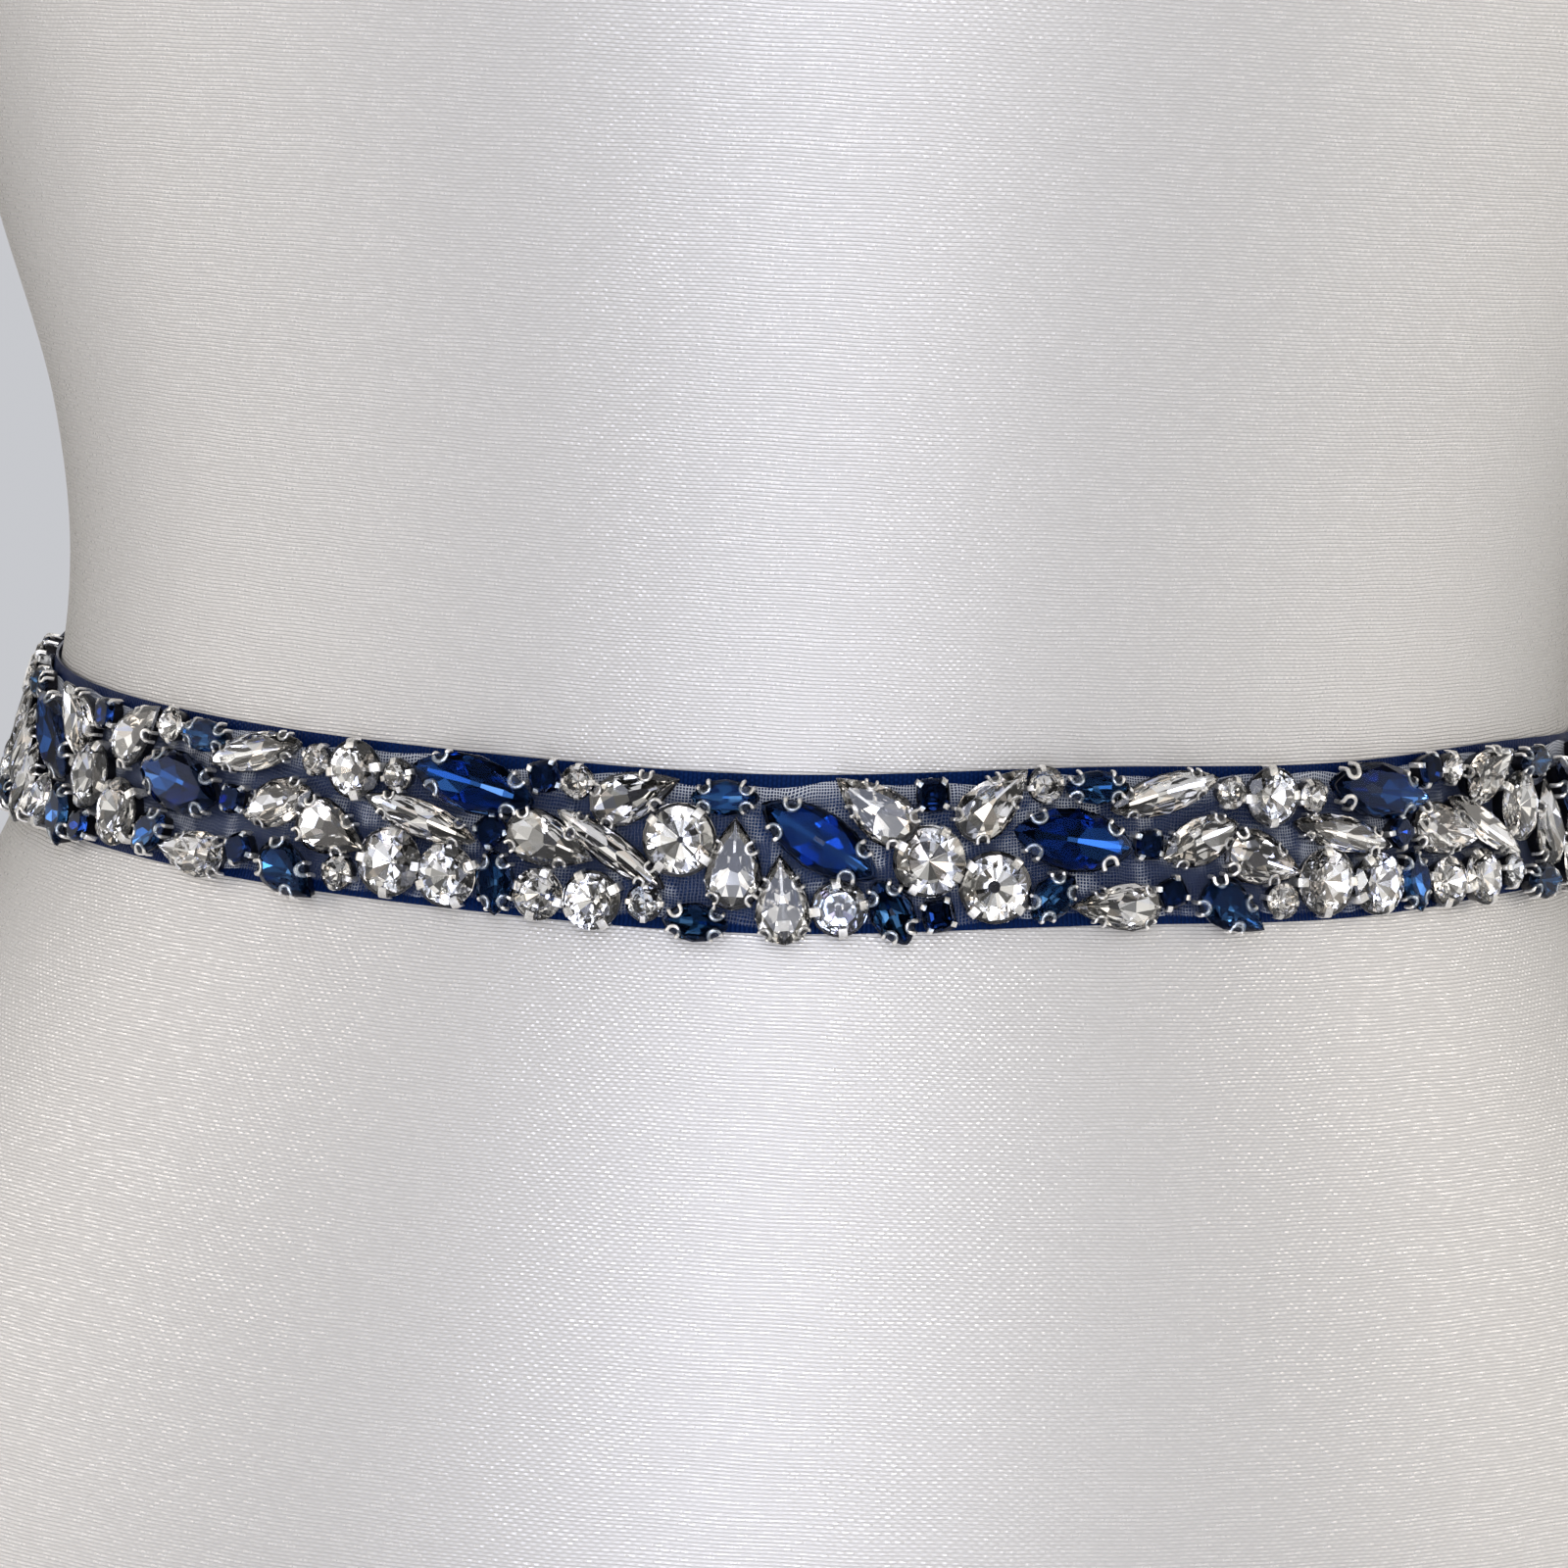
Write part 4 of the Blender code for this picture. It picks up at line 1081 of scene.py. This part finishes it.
class BRIDAL_OT_settings(bpy.types.Operator):
    """Set the silver cups, wire loops and flat tabs"""

    bl_idname = "bridal.settings"
    bl_label = "Silver settings"

    def execute(self, context):
        sizes = context.scene.bridal_sash_sizes
        silver = silver_material("silver plate", context.scene.bridal_sash_colours.silver)
        # dark: the cups' darkened silver, also used for the plates of painted shade in the loops' eyes
        dark = silver_material("darkened silver and painted shade", context.scene.bridal_sash_colours.cups_and_painted_shade)
        loop = model_wire_loop(sizes.wire / MM)
        tab = model_flat_tab()
        painted_shade_plate = model_painted_shade_plate()
        depth = sizes.girdle_lift / MM
        for number in range(1, REPEAT_COUNT + 1):
            points = []
            faces = []
            indices = []
            for cut, length, width, colour, seat, rng in placed_stones(number):
                self.add_cup(points, faces, cut, length, width, depth, seat)
                self.mark_new_faces(indices, faces, DARK_METAL_AND_PAINTED_SHADE)
                for matrix in self.prong_places(cut, length, width, colour, seat, rng):
                    self.add_copy(points, faces, loop if cut in WIRED_CUTS else tab, matrix)
                    self.mark_new_faces(indices, faces, BRIGHT_METAL)
                    # Each wire loop gets a dark plate in its eye: painted shade.
                    if cut in WIRED_CUTS:
                        self.add_copy(points, faces, painted_shade_plate, matrix)
                        self.mark_new_faces(indices, faces, DARK_METAL_AND_PAINTED_SHADE)
            piece = add_joined(f"settings_{number}", points, faces, [silver, dark], indices, smooth=True)
            dress(piece, None, "silver_setting", f"crystal_trim_{number}")
        return {"FINISHED"}

    def mark_new_faces(self, indices, faces, metal):
        """Give the faces added since the last call one of the setting's metals."""
        indices.extend([metal] * (len(faces) - len(indices)))

    def add_cup(self, points, faces, cut, length, width, depth, seat):
        """A cup round the lower half of a stone, with a rim."""
        rim = -0.05
        rings = (
            (CUP_FOOT, 0.0, -depth),
            (CUP_RIM, 0.0, rim),
            (CUP_RIM, -CUP_WALL, rim),
            (CUP_FOOT, -CUP_WALL, -depth + 0.25),
        )
        first = len(points)
        for share, inset, height in rings:
            for side in range(CUP_SIDES):
                x, y = cut_outline(cut, math.tau * side / CUP_SIDES)
                long = max(length / 2 * share + inset, CUP_LEAST)
                wide = max(width / 2 * share + inset, CUP_LEAST)
                points.append(seat @ Vector((x * long, y * wide, height)))
        for ring in range(len(rings) - 1):
            low = first + ring * CUP_SIDES
            high = low + CUP_SIDES
            for side in range(CUP_SIDES):
                after = (side + 1) % CUP_SIDES
                faces.append((low + side, low + after, high + after, high + side))
        faces.append(tuple(first + side for side in reversed(range(CUP_SIDES))))
        last = first + (len(rings) - 1) * CUP_SIDES
        faces.append(tuple(last + side for side in range(CUP_SIDES)))

    def prong_places(self, cut, length, width, colour, seat, rng):
        """Places of a stone's four prongs: wire loops on long stones, flat tabs on the others."""
        if cut in WIRED_CUTS:
            turns = LOOP_TURNS[cut]
            scale = min(1.0, 0.55 + 0.055 * width) * (CLEAR_LOOP_SCALE if colour == "clear" else 1.0)
        else:
            shift = rng.uniform(0.0, 20.0)
            turns = tuple(45.0 + 90.0 * index + shift for index in range(4))
            scale = SMALL_TAB_SCALE if length < SMALL_STONE else TAB_SCALE
        step = 0.02
        for turn in turns:
            angle = math.radians(turn)
            x, y = cut_outline(cut, angle)
            ahead_x, ahead_y = cut_outline(cut, angle + step)
            place = Vector((x * length / 2, y * width / 2, 0.0))
            along = Vector(((ahead_x - x) * length, (ahead_y - y) * width, 0.0)).normalized()
            out = Vector((along.y, -along.x, 0.0))
            basis = Matrix(((out.x, along.x, 0.0, place.x), (out.y, along.y, 0.0, place.y),
                            (0.0, 0.0, 1.0, place.z), (0.0, 0.0, 0.0, 1.0)))
            yield seat @ basis @ Matrix.Diagonal((scale, scale, 0.5 + 0.5 * scale, 1.0))

    def add_copy(self, points, faces, template, matrix):
        """A copy of a template at a place of its own."""
        first = len(points)
        points.extend(matrix @ point for point in template[0])
        faces.extend(tuple(first + corner for corner in face) for face in template[1])


class BRIDAL_OT_stones(bpy.types.Operator):
    """Cut the stones: glass crowns over foiled facets"""

    bl_idname = "bridal.stones"
    bl_label = "Cut stones"

    def execute(self, context):
        sizes = context.scene.bridal_sash_sizes
        cuts = {cut: model_cut(cut) for cut in ("round", "navette", "pear", "square")}
        foil = foil_material()
        clear = crown_material("clear cut glass", CLEAR_GLASS, CLEAR_GLOSS)
        dark = crown_material("navy cut glass", NAVY_GLASS, NAVY_GLOSS)
        for number in range(1, REPEAT_COUNT + 1):
            groups = {"clear": [[], [], [], []], "navy": [[], [], [], []]}
            for cut, length, width, colour, seat, rng in placed_stones(number):
                group = groups["clear" if colour in CLEAR_COLOURS else "navy"]
                self.add_stone(group, cuts[cut], length, width, colour, seat, rng, sizes)
            for name, crown, slot in (("clear", clear, "clear_crystal"), ("navy", dark, "navy_crystal")):
                points, faces, indices, reflection_shades = groups[name]
                piece = add_joined(f"stones_{name}_{number}", points, faces, [crown, foil], indices, reflection_shades)
                dress(piece, None, slot, f"crystal_trim_{number}")
        return {"FINISHED"}

    def add_stone(self, group, cut, length, width, colour, seat, rng, sizes):
        """One stone, its crown in glass and its lower facets foiled in their own shades of painted
        reflection, a coloured stone's lower facets painted lighter as if reflecting the light from above.
        """
        points, faces, indices, reflection_shades = group
        small = min(1.0, width / 7.0)
        crown = sizes.crown_height / MM * (0.55 + 0.45 * small)
        depth = min(0.30 * width, 0.9 * sizes.girdle_lift / MM)
        foil_and_reflection_shades = [tuple(shade) for weight, *shade in FOILS_AND_REFLECTIONS[colour] for _ in range(weight)]
        first = len(points)
        for point in cut[0]:
            height = point.z * (crown if point.z > 0 else depth)
            spot = (point.x * length * GIRDLE_FULLNESS, point.y * width * GIRDLE_FULLNESS, height)
            points.append(seat @ Vector(spot))
        half = len(foil_and_reflection_shades) // 2
        # bright: the foil shades without the darkest painted reflections, for long clear stones
        bright = foil_and_reflection_shades[LONG_STONE_SKIPS:] if length > LONG_SHAPE * width else foil_and_reflection_shades
        for corners, level in cut[1]:
            faces.append(tuple(first + corner for corner in corners))
            indices.append(GLASS if level > FOIL_LEVEL else FOIL)
            # On the coloured stones, facets below the stone's middle take the lighter half of the shades and
            # those above the darker half: a painted reflection of the light from above.
            low = sum(points[first + corner].z for corner in corners) / len(corners) < seat.translation.z
            if colour in CLEAR_COLOURS:
                reflection_shades.append(rng.choice(bright))
            else:
                reflection_shades.append(rng.choice(foil_and_reflection_shades[half:] if low else foil_and_reflection_shades[:half + 1]))


class BRIDAL_OT_bow(bpy.types.Operator):
    """Tie the bow at the back: knot, loops and tails"""

    bl_idname = "bridal.bow"
    bl_label = "Bow"

    def execute(self, context):
        sizes = context.scene.bridal_sash_sizes
        material = bpy.data.materials["navy satin"]
        rise = float(ribbon_rise(math.pi))
        for name, side in (("left", 1.0), ("right", -1.0)):
            self.add_loop(name, side, rise, sizes, material)
            self.add_tail(name, side, rise, sizes, material)
        self.add_knot(rise, sizes, material)
        return {"FINISHED"}

    def add_loop(self, name, side, rise, sizes, material):
        """One loop: folds pinched at the knot, a long and a short crease that fade, a puffed far end."""
        def place(u, v):
            away, off, half, droop = smooth_path(LOOP_PATH, u)
            share = 2 * v - 1
            pinch = np.clip((24.0 - away) / 15.0, 0.0, 1.0)
            folds = 0.85 * pinch * np.cos(share * 7.5 + 0.5 * side)
            fade = np.clip((54.0 - away) / 34.0, 0.0, 1.0)
            long_crease = np.exp(-((share - 0.30 + 0.006 * away) / 0.17) ** 2) * fade
            short_crease = np.exp(-((share + 0.42 - 0.004 * away) / 0.13) ** 2) * fade ** 2
            crease = 0.75 * long_crease + 0.5 * short_crease
            outer = np.where(u > 0.5, 1.0, -0.4)
            puff = outer * 1.6 * (1 - share ** 2)
            height = rise - droop + share * half * side
            return on_form_back(side * away, height, off + puff + folds - outer * crease)

        loop = add_sheet(f"bow_loop_satin_{name}", *BOW_GRID, place, (LOOP_LENGTH, sizes.ribbon_width / MM))
        thicken(loop, BOW_THICKNESS * sizes.ribbon_thickness, 1.0)
        dress(loop, material, "satin_ribbon", f"bow_loop_{name}")

    def add_tail(self, name, side, rise, sizes, material):
        """One tail, gathered at the knot, easing to its full width, its end cut on the slant."""
        def place(u, v):
            fall, away, off, half = smooth_path(TAIL_PATH, u)
            share = 2 * v - 1
            turn = math.radians(TAIL_TURN) * np.clip(u / 0.16, 0.0, 1.0)
            across = side * away + share * half * math.cos(math.radians(TAIL_TURN))
            cut = TAIL_CUT * np.clip((u - 0.88) / 0.12, 0.0, 1.0)
            height = rise - KNOT_HALF_HEIGHT - fall + share * side * (cut + half * np.sin(turn))
            gather = np.clip(1 - u / 0.2, 0.0, 1.0)
            folds = 0.6 * gather * np.cos(share * 7.0)
            middle = side * (0.5 * u - 0.25)
            channel = 0.6 * np.exp(-((share - middle) / 0.26) ** 2) * np.clip(1.1 - u, 0.0, 1.0)
            roll = 0.55 * np.sin(5.2 * u + 0.8 * side) * share ** 2 * np.clip(2.5 * u, 0.0, 1.0)
            return on_form_back(across, height, off + folds + TAIL_OFF + roll - channel * (1 - gather))

        tail = add_sheet(f"bow_tail_satin_{name}", *BOW_GRID, place, (TAIL_LENGTH, sizes.ribbon_width / MM))
        thicken(tail, BOW_THICKNESS * sizes.ribbon_thickness, 1.0)
        dress(tail, material, "satin_ribbon", f"bow_tail_{name}")

    def add_knot(self, rise, sizes, material):
        """The knot: the ribbon wrapped round the gathered middle, with soft folds."""
        middle = float(on_form_back(0.0, rise, 1.6)[1]) + KNOT_DEPTH / 2

        def place(u, v):
            turn = math.tau * u
            share = 2 * v - 1
            bulge = 1.0 - 0.30 * np.abs(share) ** 3
            folds = 1.0 + 0.045 * np.cos(share * 8.0 + 1.4 * np.sin(turn))
            up = KNOT_HALF_HEIGHT * 0.92 * bulge * folds
            deep = KNOT_DEPTH / 2 * 0.92 * bulge * folds
            x = KNOT_HALF_WIDTH * 0.94 * share
            z = rise + up * np.sign(np.cos(turn)) * np.abs(np.cos(turn)) ** 0.75
            y = middle + deep * np.sign(np.sin(turn)) * np.abs(np.sin(turn)) ** 0.75
            return np.stack([x, y, z], axis=-1)

        knot = add_sheet("bow_knot_satin", *KNOT_GRID, place, (KNOT_LENGTH, sizes.ribbon_width / MM),
                         closed=True)
        thicken(knot, BOW_THICKNESS * sizes.ribbon_thickness, 1.0)
        dress(knot, material, "satin_ribbon", "bow_knot")


class BRIDAL_OT_foot(bpy.types.Operator):
    """Close the form with its flat foot board"""

    bl_idname = "bridal.foot"
    bl_label = "Form foot"

    def execute(self, context):
        low, half_width, front, back = FORM_SECTIONS[0]
        bpy.ops.object.select_all(action="DESELECT")
        bpy.ops.mesh.primitive_cylinder_add(vertices=96, radius=1.0, depth=MM * FOOT_THICKNESS,
                                            location=(0, 0, MM * (FOOT_THICKNESS / 2 + 0.1)))
        foot = bpy.context.object
        foot.name = "form_foot"
        foot.data.transform(foot.matrix_world)
        foot.matrix_world = Matrix.Identity(4)
        for vertex in foot.data.vertices:
            depth = front if vertex.co.y < 0 else back
            vertex.co.x *= MM * (half_width - FOOT_INSET)
            vertex.co.y *= MM * (depth - FOOT_INSET)
        edge = foot.modifiers.new("Worn edge", "BEVEL")
        edge.width = 0.001
        edge.segments = 2
        bpy.context.view_layer.objects.active = foot
        bpy.ops.object.modifier_apply(modifier=edge.name)
        material, tree, shader = new_material("grey board")
        place = add_node(tree, "ShaderNodeTexCoord")
        wear = use_group(tree, "Soft tarnish", {"Vector": place.outputs["Object"], "Scale": 60.0})
        base = mix_colours(tree, wear.outputs["Patches"], (0.30, 0.29, 0.28, 1.0), (0.42, 0.41, 0.39, 1.0))
        tree.links.new(base, shader.inputs["Base Color"])
        shader.inputs["Roughness"].default_value = 0.8
        dress(foot, material, "form_cover")
        return {"FINISHED"}


class BRIDAL_OT_studio(bpy.types.Operator):
    """Set the floor, the soft lights and the camera"""

    bl_idname = "bridal.studio"
    bl_label = "Studio"

    def execute(self, context):
        self.add_floor(context)
        self.add_world(context.scene)
        for name, place, aim, lean, width, height, watts, colour in LIGHTS:
            light = bpy.data.lights.new(name, "AREA")
            light.shape = "RECTANGLE"
            light.size = width
            light.size_y = height
            light.energy = watts
            light.color = colour
            lamp = bpy.data.objects.new(name, light)
            bpy.context.collection.objects.link(lamp)
            lamp.location = place
            turn = (Vector((0.0, 0.0, aim)) - Vector(place)).to_track_quat("-Z", "Y").to_matrix()
            lamp.rotation_euler = (turn @ Matrix.Rotation(math.radians(lean), 3, "Z")).to_euler()
        self.add_camera(context.scene)
        context.scene.view_settings.view_transform = "Standard"
        return {"FINISHED"}

    def add_floor(self, context):
        """A plain pale floor."""
        bpy.ops.object.select_all(action="DESELECT")
        bpy.ops.mesh.primitive_circle_add(vertices=96, radius=FLOOR_RADIUS, fill_type="NGON",
                                          location=(0, 0, 0))
        floor = bpy.context.object
        floor.name = "floor"
        material, tree, shader = new_material("pale floor")
        place = add_node(tree, "ShaderNodeTexCoord")
        wear = use_group(tree, "Soft tarnish", {"Vector": place.outputs["Object"], "Scale": 3.0})
        dim = tuple(0.97 * value for value in context.scene.bridal_sash_colours.floor[:3]) + (1.0,)
        base = mix_colours(tree, wear.outputs["Patches"], context.scene.bridal_sash_colours.floor, dim)
        tree.links.new(base, shader.inputs["Base Color"])
        shader.inputs["Roughness"].default_value = 0.6
        floor.data.materials.append(material)
        floor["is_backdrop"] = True

    def add_world(self, scene):
        """Pale backdrop for the eye, and a soft room with light and dark walls for the gloss."""
        world = bpy.data.worlds.new("studio")
        world.use_nodes = True
        scene.world = world
        tree = world.node_tree
        background = tree.nodes["Background"]
        place = add_node(tree, "ShaderNodeTexCoord")
        parts = add_node(tree, "ShaderNodeSeparateXYZ", {0: place.outputs["Generated"]})
        bearing = maths(tree, "ARCTAN2", parts.outputs[0], parts.outputs[1])
        round_about = maths(tree, "COSINE", maths(tree, "MULTIPLY", bearing, 5.0))
        up_and_down = maths(tree, "COSINE", maths(tree, "MULTIPLY", parts.outputs[2], 7.0))
        windows = maths(tree, "MULTIPLY", round_about, up_and_down)
        bright = add_node(tree, "ShaderNodeMapRange", {"Value": windows, "From Min": 0.0, "From Max": 0.3,
                                                       "To Min": 0.13, "To Max": 0.89})
        sky = add_node(tree, "ShaderNodeMapRange", {"Value": parts.outputs[2], "From Min": -0.2,
                                                    "From Max": 0.5, "To Min": 0.82, "To Max": 1.08})
        room = maths(tree, "MULTIPLY", sky.outputs[0], bright.outputs[0])
        shade = add_node(tree, "ShaderNodeCombineXYZ", {0: room, 1: maths(tree, "MULTIPLY", room, 0.98),
                                                        2: maths(tree, "MULTIPLY", room, 0.95)})
        rays = add_node(tree, "ShaderNodeLightPath")
        colour = mix_colours(tree, rays.outputs["Is Camera Ray"], shade.outputs[0], BACKDROP)
        tree.links.new(colour, background.inputs["Color"])
        background.inputs["Strength"].default_value = 1.0

    def add_camera(self, scene):
        """The camera at the photo's place: in front of the waist, a little above it, slightly rolled."""
        sideways, forward, over_waist = CAMERA_PLACE
        place = Vector((sideways, forward, over_waist + WAIST_HEIGHT)) * MM
        pitch = math.radians(CAMERA_PITCH)
        roll = math.radians(CAMERA_ROLL)
        ahead = Vector((0.0, math.cos(pitch), -math.sin(pitch)))
        upward = Vector((0.0, math.sin(pitch), math.cos(pitch)))
        right = Vector((1.0, 0.0, 0.0))
        across = math.cos(roll) * right + math.sin(roll) * upward
        top = -math.sin(roll) * right + math.cos(roll) * upward
        camera = bpy.data.cameras.new("camera")
        camera.sensor_width = FILM_WIDTH
        camera.lens = FILM_WIDTH * FOCAL_PIXELS / PHOTO_PIXELS
        camera.clip_start = 0.01
        view = bpy.data.objects.new("camera", camera)
        bpy.context.collection.objects.link(view)
        view.matrix_world = Matrix(((across.x, top.x, -ahead.x, place.x),
                                    (across.y, top.y, -ahead.y, place.y),
                                    (across.z, top.z, -ahead.z, place.z),
                                    (0.0, 0.0, 0.0, 1.0)))
        scene.camera = view


class BRIDAL_PT_sash(bpy.types.Panel):
    """Sizes, colours and pieces of the bridal sash"""

    bl_idname = "BRIDAL_PT_sash"
    bl_label = "Bridal Sash"
    bl_space_type = "VIEW_3D"
    bl_region_type = "UI"
    bl_category = "Bridal Sash"

    def draw(self, context):
        for group in (context.scene.bridal_sash_sizes, context.scene.bridal_sash_colours):
            for name in group.__annotations__:
                self.layout.prop(group, name)
        for operator in OPERATORS:
            self.layout.operator(operator.bl_idname)


OPERATORS = (
    BRIDAL_OT_foot,
    BRIDAL_OT_dress_form,
    BRIDAL_OT_ribbon,
    BRIDAL_OT_organza,
    BRIDAL_OT_settings,
    BRIDAL_OT_stones,
    BRIDAL_OT_bow,
    BRIDAL_OT_studio,
)
CLASSES = (SashSizes, SashColours, *OPERATORS, BRIDAL_PT_sash)


def register():
    for cls in CLASSES:
        bpy.utils.register_class(cls)
    bpy.types.Scene.bridal_sash_sizes = bpy.props.PointerProperty(type=SashSizes)
    bpy.types.Scene.bridal_sash_colours = bpy.props.PointerProperty(type=SashColours)


def unregister():
    del bpy.types.Scene.bridal_sash_colours
    del bpy.types.Scene.bridal_sash_sizes
    for cls in reversed(CLASSES):
        bpy.utils.unregister_class(cls)


def main():
    register()
    ribbed_weave_group()
    plain_weave_group()
    speckle_group()
    bpy.ops.bridal.foot()
    bpy.ops.bridal.dress_form()
    bpy.ops.bridal.ribbon()
    bpy.ops.bridal.organza()
    bpy.ops.bridal.settings()
    bpy.ops.bridal.stones()
    bpy.ops.bridal.bow()
    bpy.ops.bridal.studio()
    boxes = {"cad": CAD_BOX, "visual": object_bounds()}
    {name: [list(corner) for corner in box] for name, box in boxes.items()}


if __name__ == "__main__":
    main()
